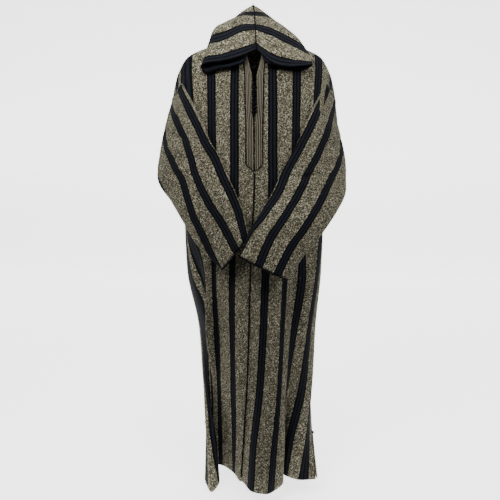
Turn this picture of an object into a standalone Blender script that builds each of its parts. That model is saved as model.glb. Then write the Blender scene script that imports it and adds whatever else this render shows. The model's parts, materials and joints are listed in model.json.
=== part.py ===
"""A djellaba: a long striped robe with a pointed hood, worn with its sleeves folded in front.

Metres, +Z up. The robe faces -Y, and the origin is at the base of the neck, where it is held up.
Tables are in millimetres. A panel is a sheet of cloth in two directions: s runs across it from
the centre line, and the fall runs down it from the shoulder.
"""

import math

import bpy
from mathutils import Vector
from mathutils.bvhtree import BVHTree

MM = 0.001
WALL = 0.002
SEAM_GAP = 0.0003
BRAID_WALL = 0.0014
CORD_RADIUS = 0.0014
HALF_WIDTH = 375
SLIT_TOP_FALL = 1145
NECK_SLIT_FALL = 195
CORNER_FALL = 100
BRAID_END_FALL = 340
SLIT_OPENING = 0.006
LAP_EASE = 0.0008
UNDERARM_EASE = 0.0025
CORNER_EASE = 0.0015
TUCK_CLEAR = 0.005
ARMHOLE_SPREAD = 6
HOOD_LAP = 0.0034
LIFT_ROUNDS = 6
FACE_SAMPLES = ((0.5, 0.25), (0.5, 0.75), (0.25, 0.5), (0.75, 0.5), (0.5, 0.0), (0.5, 1.0))
CUFF_EASE = 0.0004
SHARPEST_SEAM = math.radians(16)
LEFT, RIGHT = -1, 1

# Falls and cloth distances at which the panels have their lines of points
ARMHOLE_UPPER = (0, 22, 45, 72, 100)
ARMHOLE_LOWER = (100, 142, 185, 235, 285, 340, 395)
SKIRT_FALLS = (395, 470, 555, 615, 675, 755, 835, 915, 995, 1070, 1145, 1210, 1275)
BACK_UPPER = (0, 15, 30, 45, 60)
BACK_LOWER = (60, 93, 127, 160, 203, 247, 290)
BACK_SHORTER = 105
FRONT_FALLS = ARMHOLE_UPPER + ARMHOLE_LOWER[1:] + SKIRT_FALLS[1:]
BACK_FALLS = BACK_UPPER + BACK_LOWER[1:] + tuple(fall - BACK_SHORTER for fall in SKIRT_FALLS[1:])
HALF_SAMPLES = (0, 24, 52, 80, 103, 125, 150, 178, 205, 228, 250, 280, 310, 343, 375)

# Shoulder line from the side of the neck to the head of the sleeve
RIDGE = (
    (80, (76, -4, -2)),
    (125, (122, 0, -14)),
    (160, (155, 0, -24)),
    (205, (196, 0, -46)),
    (250, (220, 0, -85)),
    (310, (233, 0, -125)),
    (375, (240, 0, -160)),
)
FRONT_NECK = ((0, (21, -72, -32)), (52, (54, -43, -13)), (80, (76, -4, -2)))
BACK_NECK = ((0, (0, 72, 6)), (52, (54, 46, 4)), (80, (76, -4, -2)))

# Armhole, from the shoulder round the front to the underarm, and round the back
ARMHOLE_FRONT = (
    (0, (240, 0, -160)),
    (45, (224, -29, -139)),
    (100, (207, -50, -121)),
    (185, (197, -78, -200)),
    (285, (194, -70, -300)),
    (395, (204, 25, -405)),
)
ARMHOLE_BACK = (
    (0, (240, 0, -160)),
    (60, (238, 50, -215)),
    (160, (226, 68, -310)),
    (290, (204, 25, -405)),
)

# Upper front, both sides alike: fall, then the place of the cloth at each distance
YOKE_COLUMNS = (0, 55, 125, 160, 205, 250, 310, 375)
YOKE = (
    (45, ((8, -100, -72), (54, -92, -70), (121, -70, -72), (154, -55, -76),
          (193, -36, -88), (209, -33, -108), (217, -31, -124), (224, -29, -139))),
    (100, ((5, -112, -125), (55, -108, -125), (121, -90, -125), (153, -76, -124),
           (187, -60, -122), (194, -57, -122), (201, -53, -121), (207, -50, -121))),
    (185, ((1, -122, -210), (56, -120, -210), (120, -104, -209), (151, -90, -208),
           (182, -80, -205), (188, -79, -203), (193, -78, -201), (197, -78, -200))),
    (285, ((0, -130, -310), (56, -130, -310), (119, -115, -309), (150, -100, -308),
           (180, -80, -305), (186, -76, -303), (190, -73, -301), (194, -70, -300))),
    (395, ((0, -138, -420), (57, -138, -420), (118, -124, -418), (149, -106, -416),
           (181, -76, -413), (200, -42, -411), (207, -8, -408), (204, 25, -405))),
)

# Skirt of the front: fall, height, then the plan of the folds at each distance
LEFT_COLUMNS = (0, 55, 125, 160, 205, 250, 310, 375)
LEFT_FOLDS = (
    (555, -580, ((-8, -152), (-62, -148), (-118, -122), (-147, -102),
                 (-181, -66), (-203, -26), (-213, 30), (-198, 90))),
    (675, -700, ((-12, -165), (-64, -152), (-118, -116), (-143, -112),
                 (-153, -74), (-188, -38), (-206, 18), (-198, 80))),
    (835, -860, ((-16, -172), (-64, -150), (-112, -98), (-142, -110),
                 (-137, -76), (-157, -42), (-174, 14), (-166, 75))),
    (995, -1020, ((-22, -182), (-61, -144), (-108, -88), (-123, -84),
                  (-136, -80), (-149, -72), (-160, -42), (-154, 10))),
    (1145, -1170, ((-31, -184), (-60, -138), (-106, -76), (-124, -72),
                   (-133, -98), (-119, -124), (-148, -104), (-150, -42))),
    (1275, -1300, ((-39, -186), (-62, -136), (-104, -77), (-126, -74),
                   (-130, -104), (-108, -132), (-129, -166), (-152, -118))),
)
LEFT_HEM_DROP = (0, 0, -5, -5, -12, -25, -47, -40)
RIGHT_COLUMNS = (0, 55, 90, 125, 155, 205, 265, 320, 375)
RIGHT_FOLDS = (
    (555, -580, ((-8, -152), (40, -140), (68, -128), (95, -112), (117, -97),
                 (152, -72), (204, -22), (212, 28), (198, 80))),
    (675, -700, ((-12, -165), (36, -150), (63, -138), (91, -118), (113, -98),
                 (152, -74), (193, -34), (210, 16), (202, 70))),
    (835, -860, ((-16, -172), (29, -188), (54, -182), (83, -158), (99, -132),
                 (124, -112), (169, -80), (190, -32), (186, 22))),
    (995, -1020, ((-22, -182), (18, -212), (45, -218), (73, -208), (88, -188),
                  (100, -150), (145, -128), (178, -88), (178, -34))),
    (1145, -1170, ((-31, -184), (0, -232), (28, -245), (58, -238), (86, -214),
                   (88, -160), (106, -186), (154, -164), (180, -115))),
    (1275, -1300, ((-39, -186), (-8, -244), (23, -257), (48, -252), (84, -206),
                   (84, -148), (97, -167), (138, -181), (193, -172))),
)
RIGHT_HEM_DROP = (0, 0, 0, 0, 0, 10, 8, 2, 0)

# Back, half by half: fall, height, then x and y at each distance
BACK_COLUMNS = (0, 110, 205, 290, 375)
BACK_TOP = (
    (60, ((0, 98, -48), (107, 62, -52), (193, 52, -92), (226, 52, -150), (238, 50, -215))),
    (160, ((0, 118, -150), (108, 104, -152), (187, 86, -180), (218, 78, -240), (226, 68, -310))),
    (290, ((0, 126, -280), (106, 120, -282), (180, 100, -300), (206, 66, -350), (204, 25, -405))),
)
BACK_LEFT = (
    (450, -580, ((0, 148), (-76, 144), (-138, 132), (-180, 114), (-198, 90))),
    (570, -700, ((0, 152), (-74, 148), (-136, 134), (-178, 110), (-198, 80))),
    (730, -860, ((2, 142), (-66, 138), (-120, 124), (-154, 104), (-166, 75))),
    (890, -1020, ((6, 124), (-58, 120), (-108, 104), (-142, 66), (-154, 10))),
    (1040, -1170, ((9, 106), (-54, 101), (-102, 84), (-140, 30), (-150, -42))),
    (1170, -1300, ((12, 96), (-52, 92), (-102, 72), (-144, -14), (-152, -118))),
)
BACK_RIGHT = (
    (450, -580, ((0, 148), (76, 144), (138, 131), (180, 110), (198, 80))),
    (570, -700, ((0, 152), (76, 147), (140, 130), (184, 102), (202, 70))),
    (730, -860, ((2, 142), (72, 135), (130, 114), (172, 74), (186, 22))),
    (890, -1020, ((6, 124), (72, 116), (130, 92), (168, 36), (178, -34))),
    (1040, -1170, ((9, 106), (76, 97), (134, 66), (174, -14), (180, -115))),
    (1170, -1300, ((12, 96), (82, 86), (142, 50), (184, -56), (193, -172))),
)
BACK_HEM_DROP_LEFT = (0, 0, 0, -8, -40)

# Soft folds down the back: distance from the centre, half width, depth at the hem, where it starts
BACK_FOLDS = (
    (-290, 52, 20, 330),
    (-205, 46, -24, 300),
    (-118, 50, 26, 150),
    (-32, 44, -24, 190),
    (56, 48, 28, 120),
    (140, 44, -22, 220),
    (222, 48, 24, 280),
    (300, 44, -16, 380),
)

# Sleeves: share of the length, front fold, outer edge and bulge of the front
LEFT_SLEEVE = (
    (0.13, (-182, -97, -161), (-252, -15, -204), 16),
    (0.26, (-164, -120, -195), (-264, -25, -253), 22),
    (0.38, (-141, -142, -241), (-279, -37, -326), 26),
    (0.50, (-121, -154, -290), (-285, -60, -389), 28),
    (0.64, (-90, -166, -345), (-242, -105, -451), 24),
    (0.79, (-54, -178, -422), (-195, -146, -521), 20),
    (0.91, (-32, -184, -478), (-155, -165, -582), 17),
    (1.00, (-18, -190, -541), (-92, -188, -638), 16),
)
RIGHT_SLEEVE = (
    (0.13, (169, -97, -184), (246, -15, -230), 16),
    (0.26, (153, -120, -219), (258, -25, -283), 22),
    (0.38, (128, -142, -274), (269, -37, -341), 26),
    (0.50, (100, -158, -332), (268, -65, -392), 28),
    (0.64, (63, -180, -402), (254, -115, -450), 26),
    (0.79, (21, -207, -472), (198, -177, -528), 22),
    (0.91, (-12, -222, -526), (143, -204, -589), 18),
    (1.00, (-37, -232, -592), (92, -228, -658), 16),
)
# Underside of each sleeve below the underarm: share of the length and place of its middle
LEFT_UNDER = (
    (0.50, (-204, 25, -405)),
    (0.55, (-228, -24, -418)),
    (0.60, (-210, -90, -424)),
    (0.67, (-158, -124, -408)),
    (0.79, (-124, -143, -472)),
    (0.91, (-93, -159, -530)),
    (1.00, (-55, -174, -590)),
)
RIGHT_UNDER = (
    (0.50, (204, 25, -405)),
    (0.55, (228, -24, -418)),
    (0.60, (212, -90, -426)),
    (0.67, (150, -132, -428)),
    (0.79, (110, -174, -500)),
    (0.91, (66, -198, -558)),
    (1.00, (28, -214, -626)),
)
# How far the cloth tucked under the front fold is held off the body: share of the length,
# forward at two places across it, and sideways at the second of them
TUCK_LIFT = (
    (0.0, 0, 0, 0),
    (0.13, 0, 2, 2),
    (0.26, 4, 8, 8),
    (0.38, 10, 20, 22),
    (0.50, 26, 40, 34),
    (0.57, 22, 32, 22),
    (0.66, 4, 4, 2),
    (1.0, 0, 0, 0),
)
SLEEVE_ROWS = 16
ARMPIT_SHARE = 0.50
TUCK_COLUMNS = 3
FRONT_COLUMNS = 8
UNDER_COLUMNS = 8

# Hood: distance back from the rim, place on the neck seam from front to nape, then each arch
HOOD_LEFT = (
    (0, 0.00, ((-27, -114, -62), (-62, -118, -76), (-105, -104, -84), (-138, -84, -94),
               (-150, -80, -74), (-133, -98, -66), (-86, -118, -61), (-40, -120, -50),
               (6, -88, -28))),
    (83, 0.34, ((-68, -48, 2), (-84, -54, -8), (-108, -48, -16), (-124, -38, -14),
                (-130, -32, -4), (-121, -40, 4), (-87, -48, 12), (-36, -44, 34),
                (3, -33, 39))),
    (118, 0.48, ((-80, -12, 10), (-92, -10, 8), (-106, -6, 8), (-116, 2, 12),
                 (-121, 8, 24), (-110, 4, 42), (-80, -2, 52), (-38, -4, 62),
                 (2, -4, 62))),
    (153, 0.62, ((-76, 24, 8), (-84, 28, 8), (-92, 32, 12), (-96, 36, 20),
                 (-97, 38, 32), (-86, 40, 50), (-62, 36, 66), (-31, 30, 80),
                 (1, 24, 81))),
    (210, 0.78, ((-56, 62, 6), (-66, 68, 4), (-78, 74, 8), (-84, 76, 20),
                 (-82, 78, 36), (-68, 80, 60), (-46, 78, 82), (-22, 76, 100),
                 (-3, 74, 112))),
    (260, 0.90, ((-34, 80, -2), (-46, 92, -8), (-56, 104, -8), (-62, 112, 2),
                 (-60, 116, 20), (-50, 118, 42), (-34, 118, 62), (-16, 116, 78),
                 (-2, 114, 88))),
    (300, 0.97, ((-14, 86, -8), (-22, 100, -20), (-28, 116, -28), (-32, 130, -24),
                 (-31, 140, -8), (-26, 146, 12), (-18, 148, 30), (-9, 148, 44),
                 (-1, 146, 52))),
    (330, 1.00, ((0, 84, -6), (0, 98, -24), (0, 116, -40), (0, 132, -44),
                 (0, 146, -36), (0, 156, -22), (0, 162, -6), (0, 165, 8),
                 (0, 164, 20))),
)
HOOD_RIGHT = (
    (0, 0.00, ((30, -114, -62), (64, -110, -78), (104, -98, -84), (146, -80, -82),
               (165, -76, -68), (148, -90, -72), (98, -112, -77), (52, -120, -68),
               (6, -88, -28))),
    (83, 0.34, ((66, -48, 2), (84, -52, -10), (112, -46, -22), (140, -38, -34),
                (156, -32, -34), (143, -36, -22), (97, -44, 2), (40, -42, 28),
                (3, -33, 39))),
    (118, 0.48, ((80, -12, 8), (94, -10, 4), (110, -6, 0), (126, 0, 0),
                 (130, 6, 6), (118, 4, 20), (84, 0, 40), (42, -2, 56),
                 (2, -4, 62))),
    (153, 0.62, ((76, 24, 8), (84, 28, 8), (92, 32, 10), (98, 36, 16),
                 (98, 38, 26), (84, 40, 42), (60, 36, 62), (30, 30, 79),
                 (1, 24, 81))),
    (210, 0.78, ((56, 62, 6), (66, 68, 4), (78, 74, 8), (82, 76, 20),
                 (78, 78, 36), (62, 80, 60), (38, 78, 82), (14, 76, 102),
                 (-3, 74, 112))),
    (260, 0.90, ((34, 80, -2), (46, 92, -8), (56, 104, -8), (62, 112, 2),
                 (60, 116, 20), (48, 118, 42), (30, 118, 62), (12, 116, 78),
                 (-2, 114, 88))),
    (300, 0.97, ((14, 86, -8), (22, 100, -20), (28, 116, -28), (32, 130, -24),
                 (31, 140, -8), (26, 146, 12), (17, 148, 30), (7, 148, 44),
                 (-1, 146, 52))),
    (330, 1.00, ((0, 84, -6), (0, 98, -24), (0, 116, -40), (0, 132, -44),
                 (0, 146, -36), (0, 156, -22), (0, 162, -6), (0, 165, 8),
                 (0, 164, 20))),
)
ARCH_KNOTS = (0, 1, 2, 3, 4, 5, 6, 7, 8, 9)
ARCH_STEP = 0.5
HOOD_DISTANCES = (0, 26, 54, 83, 100, 118, 135, 153, 180, 210, 235, 260, 280, 300, 330)

# Knot buttons down the neck slit: height of the first, then of the close row below it
TOP_KNOT_FALL = 52
KNOT_FALLS = tuple(97 + 11 * k for k in range(8))
KNOT_HALF_SIZE = (0.0095, 0.0042, 0.0042)
TOP_KNOT_WIDTH = 1.35
SEAT_ROUNDS = 12
KNOT_EASE = 0.0003

BLACK = (0.012, 0.012, 0.016, 1.0)
TAUPE = (0.22, 0.20, 0.15, 1.0)
BRAID = (0.16, 0.14, 0.11, 1.0)


def spline(knots, at, before=None, after=None):
    """Smooth curve through (parameter, point) knots, with an optional neighbour at each end."""
    full = list(knots)
    if before is not None:
        full.insert(0, before)
    if after is not None:
        full.append(after)
    last = len(full) - 2
    i = 0
    while i < last and full[i + 1][0] <= at:
        i += 1
    (t0, p0), (t1, p1) = full[i], full[i + 1]
    span = t1 - t0
    slope = (p1 - p0) / span

    def tangent(k):
        if k == 0 or k == len(full) - 1:
            return slope
        (ta, pa), (tb, pb), (tc, pc) = full[k - 1], full[k], full[k + 1]
        into = (pb - pa) / (tb - ta)
        out = (pc - pb) / (tc - tb)
        return (into * (tc - tb) + out * (tb - ta)) / (tc - ta)

    m0, m1 = tangent(i), tangent(i + 1)
    u = (at - t0) / span
    return (
        p0 * (2 * u ** 3 - 3 * u ** 2 + 1)
        + m0 * span * (u ** 3 - 2 * u ** 2 + u)
        + p1 * (3 * u ** 2 - 2 * u ** 3)
        + m1 * span * (u ** 3 - u ** 2)
    )


def knots_of(table, side):
    """Turns (parameter, (x, y, z)) rows in millimetres into knots on one side of the robe."""
    return [(at, Vector((side * x, y, z)) * MM) for at, (x, y, z) in table]


def swell(value):
    """A smooth bump: 1 at 0, and 0 at 1 and beyond."""
    if abs(value) >= 1:
        return 0.0
    return (1 - value * value) ** 2


def ridge_point(side, s):
    return spline(knots_of(RIDGE, side), s)


def front_neck_point(side, s):
    return spline(knots_of(FRONT_NECK, side), s)


def back_neck_point(side, s):
    mirrored = [(-at, Vector((-p.x, p.y, p.z))) for at, p in knots_of(BACK_NECK, side)[1:2]]
    return spline(knots_of(BACK_NECK, side), s, before=mirrored[0])


def side_seam_point(side, fall):
    """Side seam from the underarm to the hem."""
    folds = LEFT_FOLDS if side == LEFT else RIGHT_FOLDS
    drops = LEFT_HEM_DROP if side == LEFT else RIGHT_HEM_DROP
    knots = [(395, knots_of(ARMHOLE_FRONT, side)[-1][1])]
    for level, height, plan in folds:
        drop = drops[-1] if level == folds[-1][0] else 0
        x, y = plan[-1]
        knots.append((level, Vector((x, y, height + drop)) * MM))
    return spline(knots, fall)


def armhole_point(side, fall, front):
    """Armhole edge, from the shoulder down its front, which turns a corner, or its back."""
    here = knots_of(ARMHOLE_FRONT if front else ARMHOLE_BACK, side)
    if front and fall > CORNER_FALL:
        return spline([(at, point) for at, point in here if at >= CORNER_FALL], fall)
    other = knots_of(ARMHOLE_BACK if front else ARMHOLE_FRONT, side)
    before = (-other[1][0], other[1][1])
    return spline(here, fall, before=before)


def front_rows(side):
    """Front panel: each level's fall and its knots across."""
    rows = []
    for fall, points in YOKE:
        knots = [(s, Vector((side * x, y, z)) * MM) for s, (x, y, z) in zip(YOKE_COLUMNS, points)]
        rows.append((fall, knots))
    columns = LEFT_COLUMNS if side == LEFT else RIGHT_COLUMNS
    folds = LEFT_FOLDS if side == LEFT else RIGHT_FOLDS
    drops = LEFT_HEM_DROP if side == LEFT else RIGHT_HEM_DROP
    for fall, height, plan in folds:
        at_hem = fall == folds[-1][0]
        knots = []
        for s, (x, y), drop in zip(columns, plan, drops):
            knots.append((s, Vector((x, y, height + (drop if at_hem else 0))) * MM))
        rows.append((fall, knots))
    return rows


def front_top(side, s):
    """Upper edge of the front: the neckline, then the shoulder line."""
    return front_neck_point(side, s) if s < 80 else ridge_point(side, s)


def back_top(side, s):
    return back_neck_point(side, s) if s < 80 else ridge_point(side, s)


def back_rows(side):
    rows = []
    for fall, points in BACK_TOP:
        knots = [(s, Vector((side * x, y, z)) * MM) for s, (x, y, z) in zip(BACK_COLUMNS, points)]
        rows.append((fall, knots))
    folds = BACK_LEFT if side == LEFT else BACK_RIGHT
    for fall, height, plan in folds:
        drops = BACK_HEM_DROP_LEFT if side == LEFT and fall == folds[-1][0] else (0,) * 5
        knots = [(s, Vector((x, y, height + drop)) * MM)
                 for s, (x, y), drop in zip(BACK_COLUMNS, plan, drops)]
        rows.append((fall, knots))
    return rows


def mirror_knot(knots, side):
    """The knot that continues a half panel over its centre line."""
    s, point = knots[1]
    centre = knots[0][1]
    return (-s, Vector((2 * centre.x - point.x, point.y, point.z)))


def across(knots, s, side):
    return spline(knots, s, before=mirror_knot(knots, side))


def front_point(side, s, fall):
    """Middle of the front's cloth at a distance from the centre line and a fall."""
    column = [(0, front_top(side, s))]
    column += [(level, across(knots, s, side)) for level, knots in front_rows(side)]
    behind = (-60, across(back_rows(side)[0][1], s, side)) if s >= 80 else None
    return spline(column, fall, before=behind)


def back_point(side, s, fall):
    """Middle of the back's cloth, with its soft folds."""
    column = [(0, back_top(side, s))]
    column += [(level, across(knots, s, side)) for level, knots in back_rows(side)]
    ahead = (-45, across(front_rows(side)[0][1], s, side)) if s >= 80 else None
    point = spline(column, fall, before=ahead)
    hem = BACK_LEFT[-1][0]
    for place, half_width, depth, start in BACK_FOLDS:
        if fall > start:
            growth = (fall - start) / (hem - start)
            growth = min(1.0, growth * (2 - growth))
            seam_fade = min(1.0, (HALF_WIDTH - s) / 60)
            lift = depth * MM * growth * seam_fade * swell((side * s - place) / half_width)
            point += Vector((0, lift, 0))
    return point


def front_grid(side):
    """Points of a front half, row by row from the shoulder to the hem."""
    grid = []
    for fall in FRONT_FALLS:
        row = [front_point(side, s, fall) for s in HALF_SAMPLES]
        if fall <= ARMHOLE_LOWER[-1]:
            row[-1] = armhole_point(side, fall, front=True)
        else:
            row[-1] = side_seam_point(side, fall)
        grid.append(row)
    return grid


def back_grid():
    """Points of the back, from the left side seam to the right."""
    grid = []
    for fall in BACK_FALLS:
        halves = {}
        for side in (LEFT, RIGHT):
            half = [back_point(side, s, fall) for s in HALF_SAMPLES]
            if fall <= BACK_LOWER[-1]:
                half[-1] = armhole_point(side, fall, front=False)
            else:
                half[-1] = side_seam_point(side, fall + BACK_SHORTER)
            halves[side] = half
        grid.append(list(reversed(halves[LEFT])) + halves[RIGHT][1:])
    return grid


def seam_pull(edge, inner, other_inner):
    """How far to draw an edge back, so that two walls that meet there stay a seam gap apart."""
    towards = (inner - edge).normalized()
    half_angle = towards.angle((other_inner - edge).normalized()) / 2
    half_angle = max(half_angle, SHARPEST_SEAM)
    pull = SEAM_GAP / 2 / math.sin(half_angle) + WALL / 2 / math.tan(half_angle)
    return towards * pull


def line_of(grid, line):
    """The places in a grid along one of its edges, each with its neighbour inside the sheet."""
    rows, columns = len(grid), len(grid[0])
    if line == "top":
        return [((0, j), (1, j)) for j in range(columns)]
    if line == "left":
        return [((i, 0), (i, 1)) for i in range(rows)]
    return [((i, columns - 1), (i, columns - 2)) for i in range(rows)]


def point_at(grid, place):
    return grid[place[0]][place[1]]


def seat(grid, moved, line, others, spread=1):
    """Draws one edge of a sheet back from the sheet beside it, whose inner points are given.

    Each line entry is the edge's place and an inner place. Spread columns share the movement.
    """
    for (edge, inner), other in zip(line, others):
        pull = seam_pull(point_at(grid, edge), point_at(grid, inner), other)
        i, j = edge
        step = 1 if inner[1] > j else -1
        for k in range(spread):
            moved[i][j + step * k] += pull * (1 - k / spread)


def surface_of(grid, flip):
    """Surface through a grid of points, with its normals outward, to measure clearances from."""
    points = [point for row in grid for point in row]
    columns = len(grid[0])
    faces = []
    for i in range(len(grid) - 1):
        for j in range(columns - 1):
            a, b = i * columns + j, i * columns + j + 1
            c, d = b + columns, a + columns
            faces.append((a, d, c, b) if flip else (a, b, c, d))
    return BVHTree.FromPolygons(points, faces)


def keep_clear(point, surface, gap):
    """Moves a point out until it stands the gap above the surface under it."""
    place, normal, _, distance = surface.find_nearest(point)
    height = (point - place).dot(normal)
    if height < gap and distance < 20 * gap:
        return point + normal * (gap - height)
    return point


def lift_faces(grid, surface, rows, columns, gap):
    """Lifts the corners of faces that dip nearer a surface than the gap, but not the seam's."""
    for _ in range(LIFT_ROUNDS):
        for i in range(rows):
            for j in range(columns):
                corners = ((i, j), (i, j + 1), (i + 1, j), (i + 1, j + 1))
                for u, v in FACE_SAMPLES:
                    upper = grid[i][j].lerp(grid[i][j + 1], v)
                    point = upper.lerp(grid[i + 1][j].lerp(grid[i + 1][j + 1], v), u)
                    rise = keep_clear(point, surface, gap) - point
                    for row, column in corners:
                        if row and column:
                            grid[row][column] += rise


def open_neck_slit(side, falls, grid):
    """Parts the two fronts above the end of the neck slit."""
    for fall, row in zip(falls, grid):
        if fall < NECK_SLIT_FALL and fall > 0:
            share = 1 - fall / NECK_SLIT_FALL
            row[0].x += side * 0.004 * min(1.0, 3 * share)


def material(name, colour, roughness):
    made = bpy.data.materials.get(name)
    if made is None:
        made = bpy.data.materials.new(name)
        made.use_nodes = True
        shader = made.node_tree.nodes["Principled BSDF"]
        shader.inputs["Base Color"].default_value = colour
        shader.inputs["Roughness"].default_value = roughness
        shader.inputs["Metallic"].default_value = 0.0
        made.diffuse_color = colour
    return made


def add_object(name, data, finish):
    made = bpy.data.objects.new(name, data)
    data.materials.append(finish)
    PARTS.objects.link(made)
    return made


def cloth_sheet(name, grid, finish, wall=WALL, weld=False, flip=False):
    """A grid of points made an open sheet of quads, thickened both ways by Solidify."""
    vertices = []
    index = {}

    def vertex(point):
        key = tuple(round(c, 6) for c in point) if weld else len(vertices)
        if key not in index:
            index[key] = len(vertices)
            vertices.append(point[:])
        return index[key]

    numbers = [[vertex(point) for point in row] for row in grid]
    faces = []
    for upper, lower in zip(numbers, numbers[1:]):
        for a, b, c, d in zip(upper, upper[1:], lower[1:], lower):
            corners = []
            for corner in (a, d, c, b) if flip else (a, b, c, d):
                if corner not in corners:
                    corners.append(corner)
            if len(corners) > 2:
                faces.append(corners)
    mesh = bpy.data.meshes.new(name)
    mesh.from_pydata(vertices, [], faces)
    mesh.update()
    mesh.shade_smooth()
    sheet = add_object(name, mesh, finish)
    solidify = sheet.modifiers.new("wall", "SOLIDIFY")
    solidify.thickness = wall
    solidify.offset = 0.0
    return sheet


def cord(name, points, finish, closed=False, radius=CORD_RADIUS):
    """A round cord through its points."""
    curve = bpy.data.curves.new(name, "CURVE")
    curve.dimensions = "3D"
    curve.bevel_depth = radius
    curve.bevel_resolution = 2
    curve.use_fill_caps = not closed
    run = curve.splines.new("POLY")
    run.points.add(len(points) - 1)
    for slot, point in zip(run.points, points):
        slot.co = (*point, 1.0)
    run.use_cyclic_u = closed
    return add_object(name, curve, finish)


def outward(grid, i, j, facing=Vector((0, -1, 0))):
    """Normal of a grid of points, turned to the side that it faces."""
    rows, columns = len(grid), len(grid[0])
    down = grid[min(i + 1, rows - 1)][j] - grid[max(i - 1, 0)][j]
    along = grid[i][min(j + 1, columns - 1)] - grid[i][max(j - 1, 0)]
    normal = down.cross(along).normalized()
    return normal if normal.dot(facing) > 0 else -normal


def sleeve_value(side, share, k):
    """Value of column k of a sleeve's table at a share of its length."""
    table = LEFT_SLEEVE if side == LEFT else RIGHT_SLEEVE
    knots = []
    for row in table:
        value = Vector(row[k]) if k < 3 else row[k]
        knots.append((row[0], value * MM))
    return spline(knots, max(share, knots[0][0]))


def sleeve_row(side, share):
    """Points of one sleeve section, from the front edge of the armhole round to its back edge."""
    fold, outer, bulge = (sleeve_value(side, share, k) for k in (1, 2, 3))
    forward = Vector((0, -1, 0))
    middle = fold.lerp(outer, 0.5)
    if share < ARMPIT_SHARE:
        reach = share / ARMPIT_SHARE
        front_end = armhole_point(side, 100 + 295 * reach, front=True)
        back_end = armhole_point(side, 60 + 230 * reach, front=False)
        behind = outer.lerp(back_end, 0.5) + Vector((side * 0.012, 0.016, 0))
    else:
        table = LEFT_UNDER if side == LEFT else RIGHT_UNDER
        front_end = spline([(at, Vector(point) * MM) for at, point in table], share)
        back_end = front_end
        roundness = max(0.0, 1 - (share - ARMPIT_SHARE) / 0.2)
        behind = outer.lerp(back_end, 0.5) + Vector((side * 0.012, 0.016, 0)) * roundness
        behind -= forward * 0.005
    lifts = [spline([(row[0], row[k]) for row in TUCK_LIFT], share) * MM for k in (1, 2, 3)]
    near = fold.lerp(front_end, 0.35) + forward * lifts[0]
    far = fold.lerp(front_end, 0.70) + forward * lifts[1] + Vector((side * lifts[2], 0, 0))
    knots = (
        (3, fold),
        (5, fold.lerp(outer, 0.22) + forward * bulge * 0.80),
        (7, middle + forward * bulge),
        (9, fold.lerp(outer, 0.80) + forward * bulge * 0.72),
        (11, outer),
        (15, behind),
        (19, back_end),
    )
    columns = TUCK_COLUMNS + FRONT_COLUMNS + UNDER_COLUMNS
    round_part = [spline(knots, k, before=(2, near)) for k in range(TUCK_COLUMNS, columns + 1)]
    return [front_end, far, near] + round_part


def sleeve_top_row(side):
    """Head of the sleeve: the armhole edge from its front corner over the shoulder."""
    front = [armhole_point(side, fall, front=True) for fall in reversed(ARMHOLE_UPPER)]
    back = [armhole_point(side, fall, front=False) for fall in BACK_UPPER]
    row = [front[0]] * (TUCK_COLUMNS + 1)
    for knots in (front, back):
        for a, b in zip(knots, knots[1:]):
            row += [a.lerp(b, 0.5), b]
    return row


def sleeve_grid(side):
    head = len(ARMHOLE_LOWER) - 1
    shares = [ARMPIT_SHARE * k / head for k in range(1, head + 1)]
    rest = SLEEVE_ROWS - head
    shares += [ARMPIT_SHARE + (1 - ARMPIT_SHARE) * k / rest for k in range(1, rest + 1)]
    grid = [sleeve_top_row(side)]
    for k, share in enumerate(shares, start=1):
        row = sleeve_row(side, share)
        if k <= head:
            row[0] = armhole_point(side, ARMHOLE_LOWER[k], front=True)
            row[-1] = armhole_point(side, BACK_LOWER[k], front=False)
        grid.append(row)
    return grid


def neck_seam_point(side, place):
    """Neckline from the neck slit, at 0, round to the nape, at 1."""
    s_values = [s for s in HALF_SAMPLES if s <= 80]
    line = [front_top(side, s) for s in s_values]
    line += [back_top(side, s) for s in reversed(s_values[:-1])]
    at = min(max(place, 0.0), 1.0) * (len(line) - 1)
    k = min(int(at), len(line) - 2)
    return line[k].lerp(line[k + 1], at - k)


def hood_grid(side):
    """Points of a hood half: a row for each arch, from the neck seam up to the centre seam."""
    table = HOOD_LEFT if side == LEFT else HOOD_RIGHT
    arches = []
    for distance, place, points in table:
        arch = [neck_seam_point(side, place)] + [Vector(p) * MM for p in points]
        arches.append((distance, place, arch))
    grid = []
    count = int(ARCH_KNOTS[-1] / ARCH_STEP)
    for distance in HOOD_DISTANCES:
        row_knots = []
        for k in ARCH_KNOTS:
            row_knots.append((k, spline([(d, arch[k]) for d, _, arch in arches], distance)))
        place = spline([(d, p) for d, p, _ in arches], distance)
        row = [spline(row_knots, n * ARCH_STEP) for n in range(count + 1)]
        row[0] = neck_seam_point(side, place)
        grid.append(row)
    return grid


def seat_hood(grids, surfaces):
    """Seats the hood on the neckline's outer face, and parts its halves at the centre seam."""
    moved = {side: [[p.copy() for p in row] for row in grid] for side, grid in grids.items()}
    least = (WALL + SEAM_GAP) / 2
    for side, grid in grids.items():
        other = grids[-side]
        line = line_of(grid, "right")
        seat(grid, moved[side], line, [point_at(other, inner) for _, inner in line])
        last = len(grid) - 1
        for j in range(1, len(grid[0]) - 1):
            edge, inner = grid[last][j], grid[last - 1][j]
            moved[side][last][j] += seam_pull(edge, inner, other[last - 1][j])
        for row, made in zip(moved[side], grid):
            seam_x = made[-1].x
            for point in row[2:]:
                point.x = side * max(side * (point.x - seam_x), least) + seam_x
            for surface in surfaces[side]:
                row[0] = keep_clear(row[0], surface, HOOD_LAP)
            row[1] = row[0].lerp(row[2], 0.5)
        for point in moved[side][last]:
            point.x = side * max(side * point.x, least)
    return moved


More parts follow.
